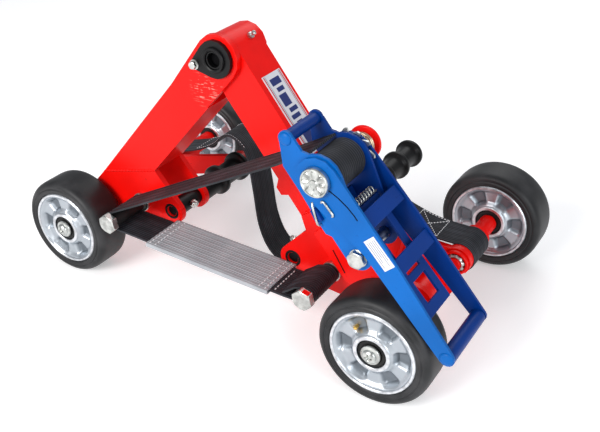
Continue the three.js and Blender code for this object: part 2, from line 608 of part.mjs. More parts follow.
// ---------------------------------------------------------------- straps
// One strap: from the roll over the left pin, back along the bottom to a sewn eye on the right pin.
function strapStations() {
  const rollY = (ROLL_Y[0] + ROLL_Y[1]) / 2;
  const leftY = STRAP_LEFT_Y + WEBBING.width / 2;
  const rightY = STRAP_RIGHT_Y + WEBBING.width / 2;
  const pinRadius = PIN_RADIUS + 2 * GAP + WEBBING.thickness / 2;
  const upperSlope = Math.atan2(MANDREL.z + ROLL_RADIUS - LEFT_PIN.z, MANDREL.x - LEFT_PIN.x);
  const wrap = arcStations(LEFT_PIN, pinRadius, Math.PI / 2 + upperSlope, 3 * Math.PI / 2 - 0.06, leftY, leftY, 10);
  const start = { x: MANDREL.x - 12, y: rollY, z: MANDREL.z + ROLL_RADIUS + 1.2 };
  const eyeRadius = PIN_RADIUS + GAP + WEBBING.thickness / 2;
  const bottom = RIGHT_PIN.z - eyeRadius;
  const eye = arcStations(RIGHT_PIN, eyeRadius, -Math.PI / 2, Math.PI / 2, rightY, rightY, 8);
  const back = [
    { x: RIGHT_PIN.x - 14, y: rightY, z: RIGHT_PIN.z + eyeRadius - 3 },
    { x: RIGHT_PIN.x - 30, y: rightY, z: RIGHT_PIN.z - 3 },
  ];
  const run = [{ x: RIGHT_PIN.x - 30, y: rightY, z: bottom + 1 }];
  const clear = {
    x: GRIP.x - 24, y: rollY, z: start.z - (start.x - GRIP.x + 24) * Math.tan(upperSlope),
  };
  return [start, clear, ...wrap, ...run, ...eye, ...back];
}

function makeStraps() {
  const stations = strapStations();
  add('ratchet_strap', ribbon(stations, WEBBING.width, WEBBING.thickness), webbing);
  const lowerStart = stations[12];
  const lowerEnd = stations[13];
  const between = (t) => ({
    x: lowerStart.x + (lowerEnd.x - lowerStart.x) * t,
    y: lowerStart.y + (lowerEnd.y - lowerStart.y) * t,
    z: lowerStart.z + (lowerEnd.z - lowerStart.z) * t,
  });
  const ends = [between(0.2), between(0.94)];
  const outer = ribbon(ends, 60, WEBBING.thickness + 3.6);
  const longer = [between(0.15), between(0.99)];
  const inner = ribbon(longer, WEBBING.width + 2 * GAP, WEBBING.thickness + 2 * GAP);
  add('strap_sleeve', outer.subtract(inner), grey);
}

// The sling hangs from drum to drum, over both rollers, and sags between them.
function slingStations() {
  const leftY = LEFT_ARM_Y + ARM_THICKNESS + 27;
  const rightY = RIGHT_ARM_Y + ARM_THICKNESS + 24;
  const drum = 16 + WEBBING.thickness / 2;
  const leftLoop = arcStations(LEFT_AXLE, drum, -0.9, -4.9, leftY, leftY, 10);
  const rightLoop = arcStations(FAR_RIGHT_AXLE, drum, 1.9, -2.2, rightY, rightY, 10);
  const route = new THREE.CatmullRomCurve3([
    new THREE.Vector3(LEFT_AXLE.x + 12, leftY, LEFT_AXLE.z + 21),
    new THREE.Vector3(-180, leftY - 2, 92),
    new THREE.Vector3(-142, leftY - 8, 110),
    new THREE.Vector3(-112, leftY - 20, 134),
    new THREE.Vector3(-82, leftY - 35, 141),
    new THREE.Vector3(-54, leftY - 50, 130),
    new THREE.Vector3(-36, leftY - 66, 92),
    new THREE.Vector3(-24, leftY - 76, 50),
    new THREE.Vector3(-6, leftY - 82, 22),
    new THREE.Vector3(20, rightY - 36, 12),
    new THREE.Vector3(44, rightY - 30, 30),
    new THREE.Vector3(54, rightY - 20, 70),
    new THREE.Vector3(64, rightY - 8, 98),
    new THREE.Vector3(92, rightY, 114),
    new THREE.Vector3(128, rightY, 115),
    new THREE.Vector3(164, rightY, 103),
    new THREE.Vector3(196, rightY, 90),
    new THREE.Vector3(FAR_RIGHT_AXLE.x - 12, rightY, FAR_RIGHT_AXLE.z + 21),
  ]);
  const middle = route.getPoints(36).slice(1, -1).map(({ x, y, z }) => ({ x, y, z }));
  return [...leftLoop, ...middle, ...rightLoop];
}

function makeSling() {
  add('sling_strap', ribbon(slingStations(), SLING_WIDTH, WEBBING.thickness), webbing);
}

// ---------------------------------------------------------------- assembly
makeLegs();
makeHinge();
makeFeet();
makeWheel('near_left', LEFT_AXLE, NEAR_LEFT_WHEEL_Y);
makeWheel('near_right', RIGHT_AXLE, NEAR_RIGHT_WHEEL_Y);
makeWheel('far_left', LEFT_AXLE, FAR_LEFT_WHEEL_Y);
makeWheel('far_right', FAR_RIGHT_AXLE, FAR_RIGHT_WHEEL_Y);
makeAxleBolt('left', LEFT_AXLE, NEAR_LEFT_WHEEL_Y, LEFT_FAR_Y + 2);
makeAxleBolt('right', RIGHT_AXLE, NEAR_RIGHT_WHEEL_Y, LEG_FAR_Y + CHEEK + 2);
makeFarArm('left', LEFT_ROLLER, LEFT_AXLE, LEFT_ARM_Y);
makeFarArm('right', RIGHT_ROLLER, FAR_RIGHT_AXLE, RIGHT_ARM_Y);
makeFarAxle('left', LEFT_AXLE, LEFT_ARM_Y, FAR_LEFT_WHEEL_Y);
makeFarAxle('right', FAR_RIGHT_AXLE, RIGHT_ARM_Y, FAR_RIGHT_WHEEL_Y);
makeRollers();
makeStrapPins();
makeRatchetBase();
makeMandrel();
makeLever();
makeBasePawl();
makeLabel();
makeStraps();
makeSling();
dolly.position.set(-FRAME_ORIGIN.x, -FRAME_ORIGIN.y, 0);

export default dolly;
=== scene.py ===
"""Self-lifting wheel dolly: fine surfaces, finishes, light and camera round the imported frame."""

from __future__ import annotations

import logging
import math
from dataclasses import dataclass, field
from enum import Enum
from typing import Any, Callable, Sequence, Union

import bmesh
import bpy
from mathutils import Matrix, Vector

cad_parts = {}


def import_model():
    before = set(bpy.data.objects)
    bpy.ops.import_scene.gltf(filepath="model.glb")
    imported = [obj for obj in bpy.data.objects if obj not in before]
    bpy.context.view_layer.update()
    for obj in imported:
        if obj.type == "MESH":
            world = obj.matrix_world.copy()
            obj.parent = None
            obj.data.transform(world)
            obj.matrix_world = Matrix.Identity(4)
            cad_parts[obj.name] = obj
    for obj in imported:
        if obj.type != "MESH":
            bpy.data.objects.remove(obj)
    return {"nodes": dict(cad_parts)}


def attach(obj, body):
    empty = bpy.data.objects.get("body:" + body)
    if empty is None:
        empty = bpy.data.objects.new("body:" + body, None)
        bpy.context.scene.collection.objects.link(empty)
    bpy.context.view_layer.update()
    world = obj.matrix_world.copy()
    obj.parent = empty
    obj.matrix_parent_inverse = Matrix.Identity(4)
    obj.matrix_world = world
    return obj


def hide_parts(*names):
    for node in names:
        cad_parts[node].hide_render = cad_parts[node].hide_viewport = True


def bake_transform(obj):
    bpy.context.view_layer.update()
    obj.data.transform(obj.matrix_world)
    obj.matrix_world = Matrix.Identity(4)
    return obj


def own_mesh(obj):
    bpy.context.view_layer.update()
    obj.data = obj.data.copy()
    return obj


LOG = logging.getLogger("wheel_dolly")

MM = 0.001
DRAWING_X = 11.02  # the drawing's point that stands over the frame's origin
DRAWING_Y = 199.75
FULL_TURN = 2 * math.pi

Colour = tuple[float, float, float]
Amount = Union[float, Callable[[float], float]]
Row = tuple[Amount, Amount]
Station = tuple[float, float, float]
Span = tuple[float, float]


def spot(x: float, y: float, z: float) -> Vector:
    """A point of the drawing, in millimetres, as a point of the frame in metres."""
    return Vector(((x - DRAWING_X) * MM, (y - DRAWING_Y) * MM, z * MM))


def linear(red: int, green: int, blue: int) -> Colour:
    """A screen colour, 0 to 255, as the light it stands for."""
    return tuple(
        (c / 255 / 12.92) if c / 255 <= 0.04045 else ((c / 255 + 0.055) / 1.055) ** 2.4
        for c in (red, green, blue)
    )


def eased(share: float) -> float:
    """A share from 0 to 1 with a soft start and end."""
    share = min(1.0, max(0.0, share))
    return share * share * (3 - 2 * share)


# ---------------------------------------------------------------- shader graph
class Wire:
    """An output socket that takes part in Python sums by adding Math nodes."""

    def __init__(self, graph: "Graph", socket: bpy.types.NodeSocket) -> None:
        """Keep the graph and its socket."""
        self.graph = graph
        self.socket = socket

    def _sum(self, operation: str, first: Any, second: Any) -> "Wire":
        """One Math node on two values."""
        return self.graph.node("ShaderNodeMath", {"operation": operation}, {0: first, 1: second})

    def __add__(self, other: Any) -> "Wire":
        """self + other."""
        return self._sum("ADD", self, other)

    def __radd__(self, other: Any) -> "Wire":
        """other + self."""
        return self._sum("ADD", other, self)

    def __sub__(self, other: Any) -> "Wire":
        """self - other."""
        return self._sum("SUBTRACT", self, other)

    def __rsub__(self, other: Any) -> "Wire":
        """other - self."""
        return self._sum("SUBTRACT", other, self)

    def __mul__(self, other: Any) -> "Wire":
        """self * other."""
        return self._sum("MULTIPLY", self, other)

    def __rmul__(self, other: Any) -> "Wire":
        """other * self."""
        return self._sum("MULTIPLY", other, self)

    def wave(self) -> "Wire":
        """The sine of a value."""
        return self._sum("SINE", self, 0.0)

    def between(self, low: float, high: float) -> "Wire":
        """0 below low, 1 above high and a soft step from one to the other."""
        return self.graph.node(
            "ShaderNodeMapRange",
            {"interpolation_type": "SMOOTHSTEP"},
            {"Value": self, "From Min": low, "From Max": high},
        )


class Graph:
    """The node tree of one material."""

    def __init__(self, name: str) -> None:
        """Start a material with a Principled shader."""
        self.material = bpy.data.materials.new(name)
        self.material.use_nodes = True
        self.tree = self.material.node_tree
        self.shader = self.tree.nodes["Principled BSDF"]

    def node(
        self,
        kind: str,
        settings: dict[str, Any] | None = None,
        values: dict[Any, Any] | None = None,
        output: int | str = 0,
    ) -> Wire:
        """Add a node.

        Args:
            kind: the node's type.
            settings: its own settings, set before its sockets.
            values: a number, colour or wire for each socket.
            output: the output to give back.

        Returns:
            The chosen output.
        """
        made = self.tree.nodes.new(kind)
        for name, setting in (settings or {}).items():
            setattr(made, name, setting)
        for key, value in (values or {}).items():
            self.feed(made.inputs[key], value)
        return Wire(self, made.outputs[output])

    def feed(self, socket: bpy.types.NodeSocket, value: Any) -> None:
        """Link a wire to a socket, or set the socket's own value."""
        if isinstance(value, Wire):
            self.tree.links.new(value.socket, socket)
        elif isinstance(value, tuple) and len(value) == 3 and socket.type == "RGBA":
            socket.default_value = (*value, 1.0)
        else:
            socket.default_value = value

    def shade(self, **values: Any) -> None:
        """Feed the shader's sockets; an underscore stands for a space in a socket's name."""
        for name, value in values.items():
            self.feed(self.shader.inputs[name.replace("_", " ")], value)

    def place(self, source: str = "Object") -> Wire:
        """The place on the surface: Object in metres, or UV."""
        return self.node("ShaderNodeTexCoord", output=source)

    def noise(self, scale: float, detail: float = 3.0, place: Wire | None = None) -> Wire:
        """Cloudy noise from 0 to 1; scale is in repeats per metre of the surface."""
        return self.node(
            "ShaderNodeTexNoise",
            values={"Vector": place or self.place(), "Scale": scale, "Detail": detail},
        )

    def lay(self) -> tuple[Wire, Wire]:
        """The two parts of the UV."""
        place = self.place("UV")
        return tuple(self.node("ShaderNodeSeparateXYZ", values={0: place}, output=part) for part in "XY")

    def stretched(self, across: Sequence[float], source: str = "Object") -> Wire:
        """The place, scaled by a factor along each axis."""
        return self.node(
            "ShaderNodeVectorMath",
            {"operation": "MULTIPLY"},
            {0: self.place(source), 1: tuple(across)},
        )

    def mixed(self, share: Any, first: Any, second: Any) -> Wire:
        """A colour between two colours."""
        return self.node(
            "ShaderNodeMix", {"data_type": "RGBA"}, {0: share, 6: first, 7: second}, output=2
        )

    def relief(self, height: Wire, depth: float, strength: float = 1.0) -> Wire:
        """A bump of a height from 0 to 1; depth is in millimetres."""
        return self.node(
            "ShaderNodeBump", values={"Strength": strength, "Distance": depth * MM, "Height": height}
        )


# ---------------------------------------------------------------- finishes
@dataclass(frozen=True)
class Finish:
    """A finish: colour, roughness, metal and gloss, made into a material once."""

    name: str
    colour: Colour
    roughness: float = 0.4
    metallic: float = 0.0
    gloss: float = 0.5

    def material(self) -> bpy.types.Material:
        """The finish's material, made at its first use."""
        found = bpy.data.materials.get(self.name)
        if found:
            return found
        graph = Graph(self.name)
        graph.shade(
            Base_Color=self.colour,
            Roughness=self.roughness,
            Metallic=self.metallic,
        )
        graph.feed(graph.shader.inputs["Specular IOR Level"], self.gloss)
        self.vary(graph)
        return graph.material

    def vary(self, graph: Graph) -> None:
        """Add what changes over the surface; here a slight unevenness of the gloss."""
        graph.shade(Roughness=self.roughness + 0.12 * graph.noise(60.0) - 0.06)


@dataclass(frozen=True)
class Paint(Finish):
    """Thick gloss paint with a soft orange peel and a few scuffs."""

    scuff: Colour = (0.3, 0.02, 0.02)
    scuffs: float = 0.5

    def coat(self, graph: Graph, cloud: Wire, mark: Wire, marked: Colour) -> None:
        """The drifting tone and the peel, with marks of another colour on them."""
        deeper = tuple(c * 0.8 for c in self.colour)
        tone = graph.mixed(cloud.between(0.3, 0.7), deeper, self.colour)
        graph.shade(
            Base_Color=graph.mixed(mark, tone, marked),
            Roughness=self.roughness + 0.3 * mark + 0.08 * cloud,
            Normal=graph.relief(graph.noise(420.0, 1.0), 0.12, 0.5),
        )

    def vary(self, graph: Graph) -> None:
        """Tone drifts, dull scuffs and peel."""
        cloud = graph.noise(14.0)
        rubbed = graph.noise(1.0, 6.0, graph.stretched((240.0, 60.0, 420.0)))
        scuffed = rubbed.between(0.66, 0.74) * cloud.between(0.42, 0.62) * self.scuffs
        self.coat(graph, cloud, scuffed, self.scuff)


@dataclass(frozen=True)
class ScratchedPaint(Paint):
    """The same paint with a patch of pale scratches."""

    patch: tuple[float, float, float] = (0.0, 0.0, 0.0)
    reach: float = 0.026
    pale: Colour = (0.9, 0.22, 0.18)

    def vary(self, graph: Graph) -> None:
        """Scratches inside the patch, over an even coat."""
        away = graph.node(
            "ShaderNodeVectorMath",
            {"operation": "DISTANCE"},
            {0: graph.place(), 1: self.patch},
            output="Value",
        )
        lines = graph.noise(1.0, 2.0, graph.stretched((70.0, 70.0, 760.0))).between(0.56, 0.62)
        broken = graph.noise(160.0, 2.0).between(0.42, 0.55)
        scratched = lines * broken * (1 - away.between(self.reach * 0.5, self.reach))
        self.coat(graph, graph.noise(14.0), scratched, self.pale)


@dataclass(frozen=True)
class Plated(Finish):
    """Bright zinc plating, a little cloudy."""

    grain: float = 900.0

    def vary(self, graph: Graph) -> None:
        """Cloudy tone and fine grain."""
        cloud = graph.noise(150.0, 4.0)
        darker = tuple(c * 0.62 for c in self.colour)
        graph.shade(
            Base_Color=graph.mixed(cloud.between(0.3, 0.7), darker, self.colour),
            Roughness=self.roughness + 0.2 * cloud - 0.05,
            Normal=graph.relief(graph.noise(self.grain, 2.0), 0.05, 0.5),
        )


@dataclass(frozen=True)
class CastSkin(Finish):
    """Cast aluminium: bright ribs, and pockets that are rougher and painted darker with depth as painted
    shade. UV is the depth and the radius in centimetres.
    """

    # pocket: painted shade, the colour that the deepest pockets are painted towards
    pocket: Colour = linear(104, 111, 118)

    def vary(self, graph: Graph) -> None:
        """Painted shade and more roughness with depth, with faint turning marks."""
        depth, radius = graph.lay()
        turning = (radius * (9.0 * FULL_TURN)).wave() * 0.5 + 0.5
        cloud = graph.noise(120.0, 3.0)
        # painted shade: the deeper the face, the darker its colour
        pocket_shade = depth.between(0.62, 0.98)
        graph.shade(
            Base_Color=graph.mixed(pocket_shade * (0.7 + 0.3 * cloud), self.colour, self.pocket),
            Roughness=self.roughness + 0.14 * pocket_shade + 0.08 * cloud,
            Normal=graph.relief(turning * 0.4 + cloud * 0.6, 0.04, 0.4),
        )


@dataclass(frozen=True)
class Rubber(Finish):
    """Black elastic rubber with a dusty bloom."""

    dust: Colour = (0.05, 0.05, 0.052)

    def vary(self, graph: Graph) -> None:
        """Bloom in clouds and a fine grain."""
        cloud = graph.noise(28.0, 5.0)
        graph.shade(
            Base_Color=graph.mixed(cloud.between(0.4, 0.75), self.colour, self.dust),
            Roughness=self.roughness + 0.18 * cloud - 0.05,
            Normal=graph.relief(graph.noise(700.0, 2.0), 0.08, 0.5),
        )


@dataclass(frozen=True)
class Woven(Finish):
    """Webbing: lengthwise cords with a fine twill across them. UV is in centimetres, across then along."""

    # sheen: painted highlight, the lighter colour of the raised cords, with more of it where worn
    sheen: Colour = (0.06, 0.06, 0.065)
    cords: float = 3.2

    def vary(self, graph: Graph) -> None:
        """Cords and twill from the lay of the strap; the raised cords get a painted sheen, stronger in clouds
        of wear.
        """
        across, along = graph.lay()
        cord = (across * (self.cords * FULL_TURN)).wave() * 0.5 + 0.5
        twill = ((along * 7.0 + across * 5.0) * FULL_TURN).wave() * 0.5 + 0.5
        wear = graph.noise(30.0, 4.0).between(0.35, 0.75)
        # painted sheen on the raised cords, stronger where the wear cloud is high
        raised = (0.35 + 0.65 * wear) * cord
        graph.shade(
            Base_Color=graph.mixed(raised, self.colour, self.sheen),
            Roughness=self.roughness - 0.15 * raised,
            Normal=graph.relief(cord * 0.8 + twill * 0.2, 0.5, 0.8),
        )


RED_PAINT = Paint("red_gloss_paint", linear(238, 12, 6), 0.3, 0.0, 0.16, linear(120, 8, 12), 0.5)
SCRATCHED_RED = ScratchedPaint(
    "red_gloss_paint_scratched", linear(238, 12, 6), 0.3, 0.0, 0.16, patch=tuple(spot(-18.0, 95.7, 263.0))
)
BLUE_PAINT = Paint("blue_gloss_paint", linear(0, 92, 170), 0.34, 0.0, 0.16, linear(4, 40, 110), 0.7)
# Painted shade: a darker copy of the blue paint for the far and shaded parts of the ratchet.
SHADED_BLUE = Paint("shade_painted_blue_paint", linear(0, 50, 126), 0.38, 0.0, 0.16, linear(4, 20, 60), 0.5)
ZINC = Plated("zinc_plating", linear(206, 208, 204), 0.26, 1.0)
BRASS = Plated("brass_screw", linear(236, 190, 104), 0.3, 1.0)
SPRING_WIRE = Plated("nickel_spring_wire", linear(222, 208, 176), 0.24, 1.0)
CAST_METAL = CastSkin("cast_aluminium_skin", linear(178, 184, 190), 0.34, 1.0)
MACHINED = Plated("machined_aluminium", linear(232, 234, 238), 0.3, 1.0, 0.5, 500.0)
TYRE_RUBBER = Rubber("tyre_rubber_black", linear(19, 20, 22), 0.46, 0.0, 0.35, (0.028, 0.028, 0.03))
SEAL_RUBBER = Rubber("seal_rubber_black", linear(10, 10, 11), 0.5, 0.0, 0.3, (0.015, 0.015, 0.015))
BLACK_COAT = Rubber("black_steel_coat", linear(6, 6, 7), 0.36, 0.0, 0.22, (0.006, 0.006, 0.007))
# Painted shade: a dull black laid in slots and bores that are only in shade.
SHADE_BLACK = Finish("painted_shade_black", linear(6, 6, 8), 0.8, 0.0, 0.1)
BLACK_WEBBING = Woven("black_webbing_weave", linear(22, 23, 27), 0.7, 0.0, 0.25, linear(66, 68, 75))
# Painted highlight: a lighter, glossier copy of the webbing for the sling's crest that faces up.
HIGHLIGHT_WEBBING = Woven("highlight_painted_webbing_weave", linear(60, 64, 66), 0.42, 0.0, 0.6, linear(128, 134, 136))
GREY_SLEEVE = Woven("grey_sleeve_weave", linear(138, 141, 146), 0.5, 0.0, 0.4, linear(184, 187, 191), 4.0)
WHITE_THREAD = Finish("white_thread", linear(222, 222, 224), 0.7, 0.0, 0.2)
WHITE_LABEL = Finish("white_label_film", linear(206, 206, 212), 0.4, 0.0, 0.3)
LABEL_GREY = Finish("label_grey_lines", linear(138, 142, 150), 0.4, 0.0, 0.3)
LABEL_RED = Finish("label_red_border", linear(186, 24, 32), 0.4, 0.0, 0.3)
LABEL_BLUE = Finish("label_blue_bars", linear(34, 46, 104), 0.4, 0.0, 0.3)


class Slot(Enum):
    """Names of material slots; nothing in this script uses them."""

    RED = "red_paint"
    BLUE = "blue_paint"
    ZINC = "zinc_steel"
    CAST = "cast_aluminium"
    BLACK = "black_coated_steel"
    TYRE = "tyre_rubber"
    WEBBING = "black_webbing"
    SLEEVE = "grey_sleeve"
    LABEL = "white_label"


class Body(Enum):
    """The frame's moving bodies."""

    RIGHT = "right_frame"
    LEFT = "left_frame"
    TAKE_UP = "take_up_shaft"
    KNOB = "knob"
    LEVER = "lever"
    LEVER_SLIDE = "lever_slide"
    BASE_SLIDE = "base_slide"


# ---------------------------------------------------------------- making and placing meshes
def shaded(mesh: bpy.types.Mesh, crease: float = 36.0) -> None:
    """Smooth shading, sharp where faces meet at more than crease degrees."""
    mesh.shade_smooth()
    mesh.set_sharp_from_angle(angle=math.radians(crease))


def formed(
    name: str,
    points: Sequence[Vector],
    faces: Sequence[Sequence[int]],
    lay: Sequence[tuple[float, float]] | None = None,
    crease: float = 36.0,
) -> bpy.types.Object:
    """Make a closed mesh that faces outwards.

    Args:
        name: the piece's name.
        points: corners in the frame.
        faces: corner numbers of each face.
        lay: UV of each corner, or None.
        crease: the angle in degrees above which an edge stays sharp.

    Returns:
        The new object, linked to the scene.
    """
    mesh = bpy.data.meshes.new(name)
    mesh.from_pydata([tuple(p) for p in points], [], [tuple(f) for f in faces])
    work = bmesh.new()
    work.from_mesh(mesh)
    bmesh.ops.recalc_face_normals(work, faces=work.faces)
    if lay is not None:
        layer = work.loops.layers.uv.new("lay")
        for face in work.faces:
            for loop in face.loops:
                loop[layer].uv = lay[loop.vert.index]
    work.to_mesh(mesh)
    work.free()
    shaded(mesh, crease)
    made = bpy.data.objects.new(name, mesh)
    bpy.context.scene.collection.objects.link(made)
    return made


def settle(
    piece: bpy.types.Object,
    body: Body | str | None,
    finish: Finish,
    stands_for: Sequence[str] = (),
) -> bpy.types.Object:
    """body: the body, or None to leave it on no body.
        finish: its finish.
        stands_for: the CAD nodes that it is shown for.

    Returns:
        The same object.
    """
    piece.data.materials.clear()
    piece.data.materials.append(finish.material())
    if stands_for:
        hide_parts(*stands_for)
    if body:
        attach(piece, body.value if isinstance(body, Body) else body)
    LOG.info("%s: %s", piece.name, finish.name)
    return piece


def quads(rows: Sequence[tuple[int, int]], size: int) -> list[Sequence[int]]:
    """Faces between rings of corners: pairs of first corners, and the corners in a ring."""
    return [
        (a + k, a + (k + 1) % size, b + (k + 1) % size, b + k) for a, b in rows for k in range(size)
    ]


def ring_pairs(count: int, size: int, closed: bool = False, base: int = 0) -> list[tuple[int, int]]:
    """First corners of neighbouring rings; closed joins the last ring to the first."""
    last = count if closed else count - 1
    return [(base + i * size, base + (i + 1) % count * size) for i in range(last)]


def at_angle(amount: Amount, angle: float) -> float:
    """An amount, worked out at an angle where it varies round the axis."""
    return amount(angle) if callable(amount) else amount


def turned(
    name: str,
    rows: Sequence[Row],
    centre: tuple[float, float],
    segments: int = 64,
    crease: float = 36.0,
    closed: bool = False,
    lay_of: Callable[[float, float, float], tuple[float, float]] | None = None,
) -> bpy.types.Object:
    """Turn a profile about an axis along Y.

    Args:
        name: the piece's name.
        rows: radius and y of each row in millimetres; either may vary with the angle.
        centre: x and z of the axis in the drawing.
        segments: steps round the axis.
        crease: the angle above which an edge stays sharp.
        closed: whether the last row joins the first, as in a ring; otherwise both ends are capped.
        lay_of: UV of a corner from its radius, y and angle, or None.

    Returns:
        The new object.
    """
    points: list[Vector] = []
    lay: list[tuple[float, float]] = []
    for radius, y in rows:
        for k in range(segments):
            angle = FULL_TURN * k / segments
            r = at_angle(radius, angle)
            if lay_of:
                lay.append(lay_of(r, at_angle(y, angle), angle))
            points.append(
                spot(centre[0] + r * math.cos(angle), at_angle(y, angle), centre[1] + r * math.sin(angle))
            )
    faces = quads(ring_pairs(len(rows), segments, closed), segments)
    if not closed:
        last = (len(rows) - 1) * segments
        faces.append(range(segments))
        faces.append(range(last, last + segments))
    return formed(name, points, faces, lay or None, crease)


def swept(
    name: str,
    path: Sequence[Vector],
    radius: Amount,
    sides: int = 10,
    ring: bool = False,
) -> bpy.types.Object:
    """Sweep a round bar along a path.

    Args:
        name: the piece's name.
        path: points of the middle line in the frame.
        radius: radius in millimetres; it may vary with the share of the path, 0 to 1.
        sides: sides of the bar.
        ring: whether the path closes on itself.

    Returns:
        The new object.
    """
    count = len(path)
    points: list[Vector] = []
    up = Vector((0.0, 0.0, 1.0))
    for i, p in enumerate(path):
        before = path[(i - 1) % count] if ring else path[max(i - 1, 0)]
        after = path[(i + 1) % count] if ring else path[min(i + 1, count - 1)]
        ahead = (after - before).normalized()
        if i == 0:
            up = ahead.orthogonal().normalized()
        side = ahead.cross(up).normalized()
        up = side.cross(ahead).normalized()
        r = at_angle(radius, i / max(1, count - 1)) * MM
        for k in range(sides):
            angle = FULL_TURN * k / sides
            points.append(p + side * (r * math.cos(angle)) + up * (r * math.sin(angle)))
    faces = quads(ring_pairs(count, sides, ring), sides)
    if not ring:
        faces.append(range(sides))
        faces.append(range((count - 1) * sides, count * sides))
    return formed(name, points, faces, crease=50.0)


def weld_bead(name: str, path: Sequence[Vector], radius: float, body: Body) -> bpy.types.Object:
    """A painted weld bead with ripples along a path."""
    steps: list[Vector] = []
    for a, b in zip(path, path[1:]):
        count = max(2, int((b - a).length / MM / 1.1))
        steps.extend(a.lerp(b, i / count) for i in range(count))
    steps.append(path[-1])
    last = len(steps) - 1

    def size(share: float) -> float:
        """Ripples, thin at both ends."""
        i = share * last
        return radius * (0.82 + 0.18 * math.sin(i * 1.3)) * min(1.0, 0.3 + min(i, last - i) * 0.25)

    return settle(swept(name, steps, size, 8), body, RED_PAINT)


def hexagon(across: float, turn: float = 0.0) -> Callable[[float], float]:
    """The radius of a hexagon at each angle, by its width across flats."""

    def radius(angle: float) -> float:
        """Radius at an angle."""
        return across / 2 / math.cos((angle + turn) % (math.pi / 3) - math.pi / 6)

    return radius


def hex_head(across: float, face: float, seat: float, turn: float = 0.0) -> list[Row]:
    """Rows of a chamfered hexagon head, from its face to its seat; y may run either way."""
    flat = across * 0.47
    radius = hexagon(across, turn)
    way = 1 if seat > face else -1

    def chamfer(angle: float) -> float:
        """Where the chamfer meets a side."""
        return face + way * 0.55 * (radius(angle) - flat)

    return [(flat * 0.3, face), (flat, face), (radius, chamfer), (radius, seat)]


